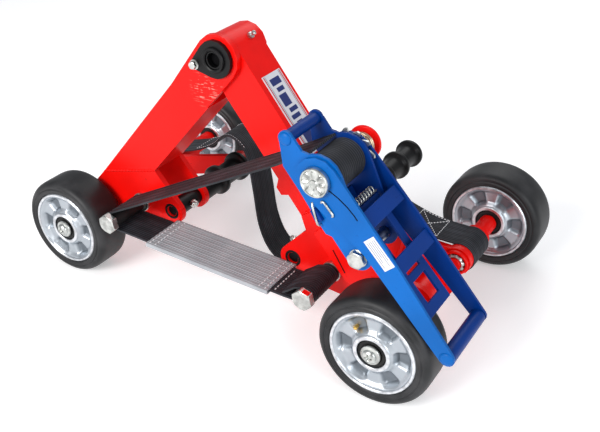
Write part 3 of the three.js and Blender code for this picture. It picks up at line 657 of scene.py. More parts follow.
# ---------------------------------------------------------------- flat belts
@dataclass
class Belt:
    """A run of webbing along stations; it stays level across Y."""

    stations: Sequence[Station]
    width: float
    thickness: float
    ribs: int = 12
    ridge: float = 0.25

    def __post_init__(self) -> None:
        """Measure the way along the belt."""
        self.way = [0.0]
        for a, b in zip(self.stations, self.stations[1:]):
            self.way.append(self.way[-1] + math.dist(a, b))

    @property
    def length(self) -> float:
        """The belt's length in millimetres."""
        return self.way[-1]

    def normal(self, i: int) -> tuple[float, float]:
        """The direction out of the belt's upper side at a station, in X and Z."""
        a = self.stations[max(i - 1, 0)]
        b = self.stations[min(i + 1, len(self.stations) - 1)]
        run = math.hypot(b[0] - a[0], b[2] - a[2])
        return -(b[2] - a[2]) / run, (b[0] - a[0]) / run

    def point(self, along: float, across: float, lift: float) -> Vector:
        """A point on the belt.

        Args:
            along: millimetres from the belt's start.
            across: millimetres from its middle, towards +Y.
            lift: millimetres out of its middle layer.

        Returns:
            The point in the frame.
        """
        i = max(0, min(len(self.way) - 2, sum(w <= along for w in self.way) - 1))
        share = (along - self.way[i]) / max(1e-6, self.way[i + 1] - self.way[i])
        a, b = self.stations[i], self.stations[i + 1]
        (ax, az), (bx, bz) = self.normal(i), self.normal(i + 1)
        return spot(
            a[0] + (b[0] - a[0]) * share + (ax + (bx - ax) * share) * lift,
            a[1] + (b[1] - a[1]) * share + across,
            a[2] + (b[2] - a[2]) * share + (az + (bz - az) * share) * lift,
        )

    def laid(self, section: Sequence[tuple[float, float]]) -> tuple[list[Vector], list[tuple[float, float]]]:
        """A section's corners at every station, and their lay across and along in centimetres."""
        points: list[Vector] = []
        lay: list[tuple[float, float]] = []
        for i, (x, y, z) in enumerate(self.stations):
            nx, nz = self.normal(i)
            for across, lift in section:
                points.append(spot(x + nx * lift, y + across, z + nz * lift))
                lay.append(((across + self.width / 2) / 10, self.way[i] / 10))
        return points, lay

    def ribbed(self, count: int, dips: Sequence[float]) -> list[tuple[float, float]]:
        """A section's outline; dips are shares of the ridge that repeat across the belt."""
        top = [
            (self.width * (i / (count - 1) - 0.5), self.thickness / 2 - self.ridge * dips[i % len(dips)])
            for i in range(count)
        ]
        return top + [(u, -lift) for u, lift in reversed(top)]

    def made(self, name: str) -> bpy.types.Object:
        """The belt as a closed mesh with ribs along both faces and its lay as UV."""
        count = 2 * self.ribs + 1
        section = self.ribbed(count, (1.0, 0.0))
        points, lay = self.laid(section)
        n = len(section)
        faces = quads(ring_pairs(len(self.stations), n), n)
        last = (len(self.stations) - 1) * n
        for base in (0, last):
            for k in range(count - 1):
                faces.append((base + k, base + k + 1, base + n - 2 - k, base + n - 1 - k))
        return formed(name, points, faces, lay, crease=60.0)

    def hollow(self, name: str, wall: float) -> bpy.types.Object:
        """The belt as an open-ended flat tube, ribbed outside, with a wall of that thickness."""
        outer = self.ribbed(4 * self.ribs + 1, (1.0, 0.35, 0.0, 0.35))
        reach, depth = self.width / 2 - wall, self.thickness / 2 - self.ridge - wall
        inner = [(max(-reach, min(reach, u)), math.copysign(depth, lift)) for u, lift in outer]
        points, lay = self.laid(outer + inner)
        n = len(outer)
        row = 2 * n
        faces: list[Sequence[int]] = []
        for i in range(len(self.stations) - 1):
            for k in range(n):
                m = (k + 1) % n
                for a, b in ((k, m), (n + k, n + m)):
                    faces.append((i * row + a, i * row + b, (i + 1) * row + b, (i + 1) * row + a))
        for base in (0, (len(self.stations) - 1) * row):
            for k in range(n):
                m = (k + 1) % n
                faces.append((base + k, base + m, base + n + m, base + n + k))
        return formed(name, points, faces, lay, crease=60.0)

    def along_of(self, x: float, after: float = 0.0) -> float:
        """The distance along the belt where it first passes x, beyond a distance."""
        for i in range(len(self.way) - 1):
            a, b = self.stations[i][0], self.stations[i + 1][0]
            if self.way[i] >= after and (a - x) * (b - x) <= 0 and a != b:
                return self.way[i] + (self.way[i + 1] - self.way[i]) * (x - a) / (b - a)
        return self.length

    def stitches(
        self,
        name: str,
        lines: Sequence[tuple[float, float, float, float]],
        lift: float,
        dash: float = 3.2,
        pitch: float = 5.0,
        gauge: float = 0.9,
    ) -> bpy.types.Object:
        """Sewn thread as short dashes on the belt.

        Args:
            name: the piece's name.
            lines: each line's start and end as along, across, along, across.
            lift: height of the thread's middle out of the belt's middle layer.
            dash: length of a stitch.
            pitch: distance from stitch to stitch.
            gauge: width of the thread.

        Returns:
            All of the stitches as one object.
        """
        points: list[Vector] = []
        faces: list[Sequence[int]] = []
        for s0, u0, s1, u1 in lines:
            reach = math.hypot(s1 - s0, u1 - u0)
            ds, du = (s1 - s0) / reach, (u1 - u0) / reach
            for i in range(int(reach / pitch) + 1):
                d0 = i * pitch
                d1 = min(reach, d0 + dash)
                if d1 - d0 < 1:
                    continue
                base = len(points)
                for d, grow in ((d0, 0.35), (d0 + (d1 - d0) * 0.3, 1), (d0 + (d1 - d0) * 0.7, 1), (d1, 0.35)):
                    for side, height in ((-1, -0.5), (-0.7, 0.35), (0.7, 0.35), (1, -0.5)):
                        w = side * gauge / 2 * grow
                        along, across = s0 + ds * d - du * w, u0 + du * d + ds * w
                        points.append(self.point(along, across, lift + height * gauge * grow))
                faces += quads(ring_pairs(4, 4, base=base), 4)
                faces.append((base, base + 1, base + 2, base + 3))
                faces.append((base + 12, base + 13, base + 14, base + 15))
        return formed(name, points, faces, crease=70.0)


def arc(
    centre: tuple[float, float], radius: float, start: float, end: float, y: float, steps: int
) -> list[Station]:
    """Stations round a pin; angles are in radians from +X towards +Z."""
    return [
        (
            centre[0] + radius * math.cos(start + (end - start) * i / steps),
            y,
            centre[1] + radius * math.sin(start + (end - start) * i / steps),
        )
        for i in range(steps + 1)
    ]


def straight(a: Station, b: Station, steps: int) -> list[Station]:
    """Stations from a to b, without a itself and without b."""
    return [tuple(p + (q - p) * i / steps for p, q in zip(a, b)) for i in range(1, steps)]


def flowing(points: Sequence[Station], steps: int) -> list[Station]:
    """A smooth line through points, with steps stations to each gap."""
    knots = [Vector(p) for p in points]
    made: list[Station] = []
    for i in range(len(knots) - 1):
        p0, p1 = knots[max(i - 1, 0)], knots[i]
        p2, p3 = knots[i + 1], knots[min(i + 2, len(knots) - 1)]
        for k in range(steps):
            t = k / steps
            square = (2 * p0 - 5 * p1 + 4 * p2 - p3) * t * t
            cube = (3 * p1 - p0 - 3 * p2 + p3) * t**3
            made.append(tuple(0.5 * (2 * p1 + (p2 - p0) * t + square + cube)))
    made.append(tuple(knots[-1]))
    return made


# ---------------------------------------------------------------- the drawing's fixed points
HINGE = (0.0, 301.0)
LEFT_AXLE = (-228.5, 62.5)
RIGHT_AXLE = (228.5, 62.5)
FAR_RIGHT_AXLE = (236.0, 62.5)
LEFT_ROLLER = (-93.7, 94.0)
RIGHT_ROLLER = (79.5, 77.0)
LEFT_PIN = (-139.5, 97.0)
RIGHT_PIN = (132.0, 77.0)
MANDREL = (173.0, 238.5)
ANCHOR = (212.7, 165.3)
LEVER_COS = 0.6388
LEVER_SIN = 0.7694


def on_lever(along: float, up: float) -> tuple[float, float]:
    """X and Z of a place along the lever and above its line."""
    return (
        MANDREL[0] + along * LEVER_COS + up * LEVER_SIN,
        MANDREL[1] - along * LEVER_SIN + up * LEVER_COS,
    )


def on_right_leg(along: float, outward: float) -> tuple[float, float]:
    """X and Z of a place along the right leg from the hinge and out of its middle."""
    return HINGE[0] + 0.575 * along + 0.818 * outward, HINGE[1] - 0.818 * along + 0.575 * outward


def slab(
    name: str, corners: Sequence[tuple[float, float]], near: float, far: float, ease: float = 0.4
) -> bpy.types.Object:
    """A flat plate from an outline in X and Z, with its near edge eased."""
    cx = sum(c[0] for c in corners) / len(corners)
    cz = sum(c[1] for c in corners) / len(corners)
    points: list[Vector] = []
    for y, inset in ((far, 0.0), (near + ease, 0.0), (near, ease)):
        for x, z in corners:
            reach = math.hypot(x - cx, z - cz) or 1.0
            k = 1 - inset / reach
            points.append(spot(cx + (x - cx) * k, y, cz + (z - cz) * k))
    n = len(corners)
    faces = [range(n), range(2 * n, 3 * n), *quads(ring_pairs(3, n), n)]
    return formed(name, points, faces, crease=30.0)


def around(centre: tuple[float, float], radius: float, angle: float, y: float) -> Vector:
    """A point of the frame at an angle round an axis along Y."""
    return spot(centre[0] + radius * math.cos(angle), y, centre[1] + radius * math.sin(angle))


def circle(centre: tuple[float, float], radius: float, y: float) -> list[Vector]:
    """A closed ring of points round an axis along Y, for a weld bead."""
    steps = 60
    return [around(centre, radius, FULL_TURN * i / steps, y) for i in range(steps + 1)]


def stood(rows: Sequence[Row], name: str, segments: int, centre: tuple[float, float], reach: float, y: float,
          angle: float) -> bpy.types.Object:
    """Turn a small part and stand it on a tube.

    Args:
        rows: its profile, from its foot at 0.
        name: the piece's name.
        segments: steps round it.
        centre: x and z of the tube's axis.
        reach: how far its foot is from that axis.
        y: its place along the tube.
        angle: the direction it points in, from +X towards +Z, in radians.

    Returns:
        The new object.
    """
    made = turned(name, [(r, up + DRAWING_Y) for r, up in rows], (DRAWING_X, 0.0), segments)
    foot = around(centre, reach, angle, y)
    lean = Matrix.Rotation(-angle, 4, "Y") @ Matrix.Rotation(-math.pi / 2, 4, "Z")
    made.data.transform(Matrix.Translation(foot) @ lean)
    return made


# ---------------------------------------------------------------- wheels
@dataclass
class Wheel:
    """One wheel: elastic rubber tyre on a cast rim with recessed lobes, seals and a hub ring."""

    name: str
    centre: tuple[float, float]
    near: float
    has_screw: bool = False
    radius: float = 62.5
    width: float = 50.0
    rim: float = 47.4
    lobes: int = 6
    lip: Sequence[tuple[float, float]] = (
        (43.9, 0.2), (44.6, -0.5), (46.4, -0.5), (47.2, 0.4), (47.2, 2.0), (43.9, 2.0),
    )
    hub_ring: Sequence[tuple[float, float]] = (
        (16.3, 1.2), (16.3, -0.3), (16.8, -0.8), (19.6, -0.8), (20.4, -0.2), (20.5, 1.6), (16.3, 1.6),
    )

    @property
    def body(self) -> str:
        """The body the wheel is."""
        return f"{self.name}_wheel"

    def tyre_rows(self) -> list[Row]:
        """The tyre's profile: side lip, moulded ridge, round shoulders and a flat tread."""
        side = [
            (self.rim + 0.2, 2.2), (self.rim + 0.9, 1.2), (self.rim + 2.2, 0.7), (52.6, 0.5), (53.4, 1.2),
            (54.0, 1.5), (54.7, 1.1), (56.4, 1.0), (58.6, 1.9), (60.4, 3.6), (61.6, 5.9), (62.2, 8.6),
            (self.radius, 12.0), (self.radius, 18.0),
        ]
        near = [(r, self.near + y) for r, y in side]
        far = [(r, self.near + self.width - y) for r, y in reversed(side)]
        return [*near, *far]

    def depth(self, radius: float, angle: float) -> float:
        """How deep the cast face lies behind the wheel's side, in millimetres."""
        if radius < 21.4:
            return 0.9 + 1.6 * eased((radius - 20.4) / 1.0)
        turn = (angle * self.lobes / FULL_TURN) % 1.0
        pocket = eased((abs(turn - 0.5) * 2 - 0.36) / 0.3)
        dish = eased((radius - 21.4) / 5.5) * (1 - eased((radius - 36.8) / 6.4))
        return 2.5 + dish * (3.4 + 4.6 * pocket) - 1.2 * eased((radius - 43.2) / 0.8)

    def rim_rows(self) -> list[Row]:
        """Rows of the cast rim from the bearing seat, over both faces."""
        radii = [16.2, 17.0, 20.2, 20.7, 21.2, 22.0, 22.8, 23.8, 25.0, 26.5]
        radii += [28.5 + 1.5 * i for i in range(7)]
        radii += [38.8, 39.8, 40.8, 41.8, 42.6, 43.2, 43.6, 44.0, 46.6]
        rows: list[Row] = [(16.2, self.near + 4.0)]
        for r in radii:
            rows.append((r, lambda a, r=r: self.near + self.depth(r, a)))
        rows += [(self.rim, self.near + 1.9), (self.rim, self.near + self.width - 1.9)]
        for r in reversed(radii):
            rows.append((r, lambda a, r=r: self.near + self.width - self.depth(r, a)))
        rows.append((16.2, self.near + self.width - 4.0))
        return rows

    def build(self) -> None:
        """Make the tyre, the rim, its seals and the small screw."""
        near, far = self.near, self.near + self.width
        tyre = turned(f"{self.name}_tyre_fine", self.tyre_rows(), self.centre, 112, closed=True)
        settle(tyre, self.body, TYRE_RUBBER, [f"{self.name}_tyre"])
        middle, half = self.near + self.width / 2, self.width / 2
        rim = turned(
            f"{self.name}_rim_fine", self.rim_rows(), self.centre, 144, 40.0, closed=True,
            lay_of=lambda r, y, a: ((half - abs(y - middle)) / 10, r / 10),
        )
        settle(rim, self.body, CAST_METAL, [f"{self.name}_rim"])
        seal_rows = [
            (8.6, near + 3.4), (9.4, near + 2.6), (11.4, near + 2.6), (11.8, near + 1.9), (14.8, near + 1.9),
            (15.4, near + 2.8), (16.1, near + 2.9), (16.1, far - 2.9), (15.4, far - 2.8), (14.8, far - 1.9),
            (11.8, far - 1.9), (11.4, far - 2.6), (9.4, far - 2.6), (8.6, far - 3.4),
        ]
        settle(turned(f"{self.name}_seal", seal_rows, self.centre, 56, closed=True), self.body, SEAL_RUBBER)
        for side, y in (("near", near + 1.0), ("far", far - 1.0)):
            way = 1 if side == "near" else -1
            for part, segments, shape in (("lip", 112, self.lip), ("hub_ring", 80, self.hub_ring)):
                rows = [(r, y + depth * way) for r, depth in shape]
                ring = turned(f"{self.name}_{side}_{part}", rows, self.centre, segments, closed=True)
                settle(ring, self.body, MACHINED)
        if self.has_screw:
            angle = math.radians(131)
            place = (self.centre[0] + 29.5 * math.cos(angle), self.centre[1] + 29.5 * math.sin(angle))
            shape = ((0.4, 3.8), (1.4, 4.1), (2.0, 5.0), (2.0, 10.0), (0.6, 10.2))
            rows = [(r, near + depth) for r, depth in shape]
            settle(turned(f"{self.name}_screw", rows, place, 20), self.body, BRASS)


# ---------------------------------------------------------------- near bolts, far axles and pins
@dataclass
class Fasteners:
    """Bolts, pins, nuts and far axles."""

    def build(self) -> None:
        """Make every fastener."""
        self.axle_bolt("left", LEFT_AXLE, 41.0, 151.3, Body.LEFT)
        self.axle_bolt("right", RIGHT_AXLE, 0.0, 158.0, Body.RIGHT)
        self.far_axle("left", LEFT_AXLE, 239.0, 344.0, Body.LEFT)
        self.far_axle("right", FAR_RIGHT_AXLE, 194.0, 291.0, Body.RIGHT)
        self.strap_pin("left", LEFT_PIN, 30.0, 95.4, 105.7, 39.0, Body.LEFT)
        self.strap_pin("right", RIGHT_PIN, 28.0, 95.4, 102.5, 37.0, Body.RIGHT)
        self.anchor_bolt()
        self.cap_nut("left", LEFT_ROLLER, 8.0, False, Body.LEFT)
        self.cap_nut("right", RIGHT_ROLLER, 30.0, True, Body.RIGHT)
        self.keeper_bolt()
        self.grease_nipple()

    def axle_bolt(
        self, side: str, centre: tuple[float, float], near: float, end: float, body: Body
    ) -> None:
        """Domed axle bolt with a washer and a cross recess in its head."""

        def cross(depth: float) -> Callable[[float], float]:
            """A face cut by a cross, deeper towards the middle."""
            return lambda a: near - 6.4 + depth * (1 if abs(math.sin(2 * a)) < 0.42 else 0)

        rows = [
            (0.9, near - 4.6), (2.6, cross(1.8)), (3.6, cross(1.2)), (4.4, near - 6.2), (6.2, near - 5.4),
            (7.3, near - 4.2), (7.6, near - 2.4), (8.8, near - 2.2), (10.4, near - 1.6), (10.9, near - 0.8),
            (10.9, near + 0.8), (8.0, near + 1.0), (8.0, end), (2.0, end),
        ]
        bolt = turned(f"{side}_axle_bolt_fine", rows, centre, 64)
        settle(bolt, body, ZINC, [f"{side}_near_axle_bolt"])

    def far_axle(
        self, side: str, centre: tuple[float, float], arm: float, wheel: float, body: Body
    ) -> None:
        """Red far axle with its drum and end cap, and the serrated lock nut in front of the arm."""
        far = wheel + 50.0
        rows = [
            (2.0, arm - 9.0), (7.2, arm - 9.0), (8.0, arm - 8.2), (8.0, arm + 8.3), (16.4, arm + 8.3),
            (17.0, arm + 8.9), (17.0, arm + 9.6), (15.6, arm + 10.2), (15.0, arm + 11.0), (15.0, arm + 62.2),
            (14.2, arm + 63.0), (11.4, arm + 63.4), (10.5, arm + 64.4), (10.5, wheel - 0.4),
            (8.0, wheel - 0.3),
            (8.0, far + 0.3), (11.4, far + 0.3), (12.0, far + 0.9), (12.0, far + 2.8), (10.6, far + 5.2),
            (6.6, far + 7.2), (1.6, far + 8.0),
        ]
        axle = turned(f"{side}_far_axle_fine", rows, centre, 64)
        settle(axle, body, RED_PAINT, [f"{side}_far_axle"])

        def teeth(angle: float) -> float:
            """Serrations round the nut."""
            return 10.8 + 0.9 * (1 if math.sin(angle * 10) > 0 else 0)

        nut = turned(
            f"{side}_lock_nut",
            [(8.4, arm - 7.2), (9.6, arm - 7.4), (teeth, arm - 5.6), (teeth, arm - 2.4), (8.4, arm - 0.4)],
            centre, 80, closed=True,
        )
        settle(nut, body, ZINC, [f"{side}_far_nut"])
        rows = [(11.9, arm - 0.4), (11.9, arm - 4.4), (12.6, arm - 5.2), (14.4, arm - 5.2), (15.2, arm - 4.4),
                (15.2, arm - 0.4)]
        settle(turned(f"{side}_nut_ring", rows, centre, 56, closed=True), body, RED_PAINT)

    def strap_pin(
        self, side: str, centre: tuple[float, float], head: float, plate: float, end: float, web: float,
        body: Body,
    ) -> None:
        """Large hexagon-headed pin that holds the strap."""
        rows = [
            *hex_head(22.0, head, head + 8.0, 0.35), (8.0, head + 8.2), (8.0, web + 52.2),
            (11.4, web + 52.2), (12.0, web + 53.0), (12.0, plate - 0.6), (11.4, plate), (8.0, plate),
            (8.0, end), (3.0, end),
        ]
        pin = turned(f"{side}_strap_pin_fine", rows, centre, 96, 25.0)
        settle(pin, body, ZINC, [f"{side}_strap_pin"])
        rows = [(8.1, web + 1.0), (8.4, web + 1.0), (8.4, web + 49.0), (8.1, web + 49.0)]
        settle(turned(f"{side}_pin_sleeve", rows, centre, 40, closed=True), body, SEAL_RUBBER)
        if side == "right":
            x, z = centre
            corners = [(x - 1.5, z + 10.9), (x + 7.5, z + 8.9), (x + 8.8, z + 9.6), (x + 0.5, z + 11.5)]
            stripe = slab("overspray_patch", corners, head + 0.6, head + 7.0, 0.2)
            settle(stripe, body, RED_PAINT)

    def anchor_bolt(self) -> None:
        """The bolt that holds the ratchet to its bracket, with a washer."""
        rows = [*hex_head(16.5, 1.2, 7.2, 0.2), (9.4, 7.2), (9.4, 7.9), (6.0, 7.9), (6.0, 95.4), (2.0, 95.4)]
        bolt = turned("anchor_bolt_fine", rows, ANCHOR, 96, 25.0)
        settle(bolt, Body.RIGHT, ZINC, ["anchor_bolt"])

    def cap_nut(
        self, side: str, centre: tuple[float, float], lean: float, mirrored: bool, body: Body
    ) -> None:
        """Small domed grease screw that stands on a spacer tube."""
        rows = [
            (3.0, 0.0), (3.0, 1.4), (hexagon(9.0), 1.6), (hexagon(9.0), 4.6), (4.0, 5.2), (3.8, 7.0),
            (2.6, 8.8), (0.8, 9.6),
        ]
        angle = math.radians(180 - lean if mirrored else lean)
        nut = stood(rows, f"{side}_cap_nut_fine", 48, centre, 11.2, 121.0, angle)
        settle(nut, body, ZINC, [f"{side}_cap_nut"])

    def keeper_bolt(self) -> None:
        """The small bolt and washer at the keeper plate's tip."""
        rows = [*hex_head(8.0, 84.4, 88.6), (5.6, 88.8), (5.6, 90.0), (3.0, 90.2), (3.0, 94.9), (1.0, 94.9)]
        bolt = turned("keeper_bolt_fine", rows, (-26.0, 293.0), 60, 25.0)
        settle(bolt, Body.LEFT, ZINC, ["keeper_bolt"])

    def grease_nipple(self) -> None:
        """Grease nipple on the hinge barrel."""
        rows = [
            (hexagon(7.0), 0.2), (hexagon(7.0), 3.0), (2.0, 3.6), (1.8, 5.4), (2.6, 6.2), (2.6, 7.6),
            (1.4, 9.0), (0.6, 9.2),
        ]
        made = stood(rows, "grease_nipple_fine", 36, HINGE, 24.6, 132.0, math.radians(40))
        settle(made, Body.RIGHT, ZINC, ["grease_nipple"])


# ---------------------------------------------------------------- painted frame
@dataclass
class PaintedFrame:
    """The legs, feet, arms and hinge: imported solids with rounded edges, finishes and weld beads."""

    edges: dict[str, float] = field(default_factory=lambda: {
        "left_leg": 2.2, "right_leg": 2.2, "left_foot_plate": 1.2, "left_rear_plate": 1.2,
        "right_foot_plate": 1.2, "right_rear_plate": 1.2, "right_axle_tube": 0.6, "left_far_arm": 1.6,
        "right_far_arm": 1.6, "ratchet_bracket": 1.8,
    })
    black: dict[str, float] = field(default_factory=lambda: {
        "keeper_plate": 0.8, "left_roller_shaft": 0.8, "right_roller_shaft": 0.8,
        "left_spacer_tube": 0.6, "right_spacer_tube": 0.6,
    })

    def build(self) -> None:
        """Dress the solids and add what is too fine for them."""
        for node, edge in self.edges.items():
            dressed(node, SCRATCHED_RED if node == "left_leg" else RED_PAINT, edge)
        for node, edge in self.black.items():
            dressed(node, BLACK_COAT, edge)
        dressed("hinge_pin", BLACK_COAT, 0.6)
        self.bushes()
        self.welds()
        self.leg_label()

    def bushes(self) -> None:
        """Dark bush rings in the roller lugs, a ring round the pin's nose and a disc of painted shade in its
        bore.
        """
        face = 95.7
        rows = [
            (6.7, face + 0.4), (7.6, face - 0.8), (9.6, face - 0.8), (10.4, face + 0.2), (6.7, face + 0.5),
        ]
        for name, centre, body in (
            ("left_lug_bush", LEFT_ROLLER, Body.LEFT), ("right_lug_bush", RIGHT_ROLLER, Body.RIGHT),
        ):
            settle(turned(name, rows, centre, 48, closed=True), body, BLACK_COAT)
        rows = [(10.1, 90.3), (10.1, 88.0), (11.4, 87.2), (13.2, 87.4), (14.0, 88.4), (14.0, 90.3)]
        settle(turned("pin_nose_ring", rows, HINGE, 56, closed=True), Body.LEFT, BLACK_COAT)
        # A disc of painted shade stands for the dark bore of the pin's nose.
        rows = [(1.0, 97.0), (7.8, 97.0), (7.8, 104.0), (1.0, 104.0)]
        settle(turned("pin_bore_shade", rows, HINGE, 40), Body.LEFT, SHADE_BLACK)

    def welds(self) -> None:
        """Painted beads where the plates and arms are joined, and painted shade in the bracket's slit."""
        near_y = 95.4
        foot = [on_right_leg(190, 24.4), on_right_leg(190, -18.5), on_right_leg(208, -24.5)]
        weld_bead("right_foot_weld", [spot(x, 102.6, z) for x, z in foot], 2.2, Body.RIGHT)
        rear = [spot(x, 149.8, z) for x, z in foot]
        weld_bead("right_rear_weld", rear, 2.0, Body.RIGHT)
        bracket = [(154.5, 76.0), (117.5, 124.5), (124.0, 132.4), (150.0, 135.4), (203.0, 175.0)]
        weld_bead("bracket_weld", [spot(x, near_y, z) for x, z in bracket], 1.8, Body.RIGHT)
        lower = [spot(x, near_y, z) for x, z in (bracket[0], (181.0, 71.0))]
        weld_bead("bracket_lower_weld", lower, 1.8, Body.RIGHT)
        dx, dz = -0.692, -0.722  # the left leg's direction, down from the hinge
        for name, y in (("left_foot_weld", 95.9), ("left_foot_rear_weld", 149.1)):
            ends = [(190.2, -27.0), (262.2, 22.0)]
            line = [spot(dx * a + dz * o, y, HINGE[1] + dz * a - dx * o) for a, o in ends]
            weld_bead(name, line, 1.8, Body.LEFT)
        for name, centre, near, body in (
            ("left_arm_weld", LEFT_AXLE, 247.4, Body.LEFT),
            ("right_arm_weld", FAR_RIGHT_AXLE, 202.4, Body.RIGHT),
        ):
            weld_bead(name, circle(centre, 15.6, near + 0.4), 1.7, body)
        weld_bead("right_tube_weld", circle(RIGHT_AXLE, 14.6, near_y + 0.2), 1.8, Body.RIGHT)
        # A dull black bar painted as the shade inside the bracket's slit.
        slit = [spot(139.5 + 1.39 * i, 84.6, 111.0 - 2.52 * i) for i in range(11)]
        settle(swept("bracket_slit_shade", slit, 0.8, 8), Body.RIGHT, SHADE_BLACK)

    def leg_label(self) -> None:
        """The label on the right leg's outer side: white film with a red border and plain bars."""

        def patch(name: str, along: Span, across: Span, lift: float, finish: Finish) -> None:
            """A rectangle of film on the leg's outer side."""
            (a0, a1), (b0, b1) = along, across
            corners = [(a0, b0), (a1, b0), (a1, b1), (a0, b1)]
            points: list[Vector] = []
            for height in (24.6, 24.6 + lift):
                for a, y in corners:
                    x, z = on_right_leg(a, height)
                    points.append(spot(x, y, z))
            faces = [range(4), range(4, 8), *quads([(0, 4)], 4)]
            made = formed(name, points, faces, crease=30.0)
            stands = ["leg_label"] if name == "leg_label_film" else []
            settle(made, Body.RIGHT, finish, stands)

        patch("leg_label_film", (42, 138), (111, 144), 0.8, WHITE_LABEL)
        patch("leg_label_rule_a", (43, 137), (112.4, 113.6), 0.95, LABEL_RED)
        patch("leg_label_rule_b", (43, 137), (141.4, 142.6), 0.95, LABEL_RED)
        patch("leg_label_rule_c", (43, 137), (114.8, 115.4), 0.95, LABEL_GREY)
        patch("leg_label_rule_d", (43, 137), (139.6, 140.2), 0.95, LABEL_GREY)
        bars = ((48, 56), (59, 64), (67, 81), (84, 89), (92, 97), (100, 112), (115, 132))
        for i, bar in enumerate(bars):
            low = 119.0 + 3.0 * (i % 2)
            patch(f"leg_label_bar_{i}", bar, (low, 136.0 - 2.0 * (i % 3)), 0.95, LABEL_BLUE)


def dressed(node: str, finish: Finish, edge: float) -> None:
    """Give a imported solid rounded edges, smooth shading and its finish.

    Args:
        node: its name.
        finish: its finish.
        edge: width of its rounded edges in millimetres.
    """
    solid = NODES[node]
    mesh = solid.data
    if "custom_normal" in mesh.attributes:
        mesh.attributes.remove(mesh.attributes["custom_normal"])
    mesh.materials.clear()
    mesh.materials.append(finish.material())
    mesh.shade_smooth()
    weld = solid.modifiers.new("joined_corners", "WELD")
    weld.merge_threshold = 0.00001
    bevel = solid.modifiers.new("rounded_edges", "BEVEL")
    bevel.width = edge * MM
    bevel.segments = 3
    bevel.limit_method = "ANGLE"
    bevel.angle_limit = math.radians(40)
    bevel.use_clamp_overlap = True
    bevel.miter_outer = "MITER_ARC"
    bevel.harden_normals = False
    normals = solid.modifiers.new("even_shading", "WEIGHTED_NORMAL")
    normals.keep_sharp = False
    normals.weight = 80
    LOG.info("%s: %s", node, finish.name)


# ---------------------------------------------------------------- rollers
@dataclass
class Spool:
    """A turned roller segment with rounded flanges."""

    node: str
    body: str
    centre: tuple[float, float]
    near: float
    far: float
    pitch: float = 42.0
    bore: float = 7.2
    neck: float = 14.0
    flange: float = 19.5

    def rows(self) -> list[Row]:
        """The profile, flange after flange."""
        count = max(1, round((self.far - self.near) / self.pitch))
        unit = (self.far - self.near) / count
        made: list[Row] = [(self.bore, self.near)]
        shape = [
            (0.0, 0.02), (0.04, 0.02), (0.3, 0.0), (0.58, 0.0), (0.66, 0.08), (0.72, 0.26), (0.765, 0.55),
            (0.79, 0.82), (0.815, 0.96), (0.84, 1.0), (0.92, 1.0), (0.945, 0.96), (0.965, 0.82),
            (0.975, 0.5), (0.985, 0.02),
        ]
        for i in range(count):
            for share, rise in shape:
                made.append((self.neck + (self.flange - self.neck) * rise, self.near + unit * (i + share)))
        made += [(self.neck, self.far - 0.4), (self.neck - 0.8, self.far), (self.bore, self.far)]
        return made

    def build(self) -> None:
        """Make the segment."""
        roller = turned(f"{self.node}_fine", self.rows(), self.centre, 64, closed=True)
        settle(roller, self.body, BLACK_COAT, [self.node])


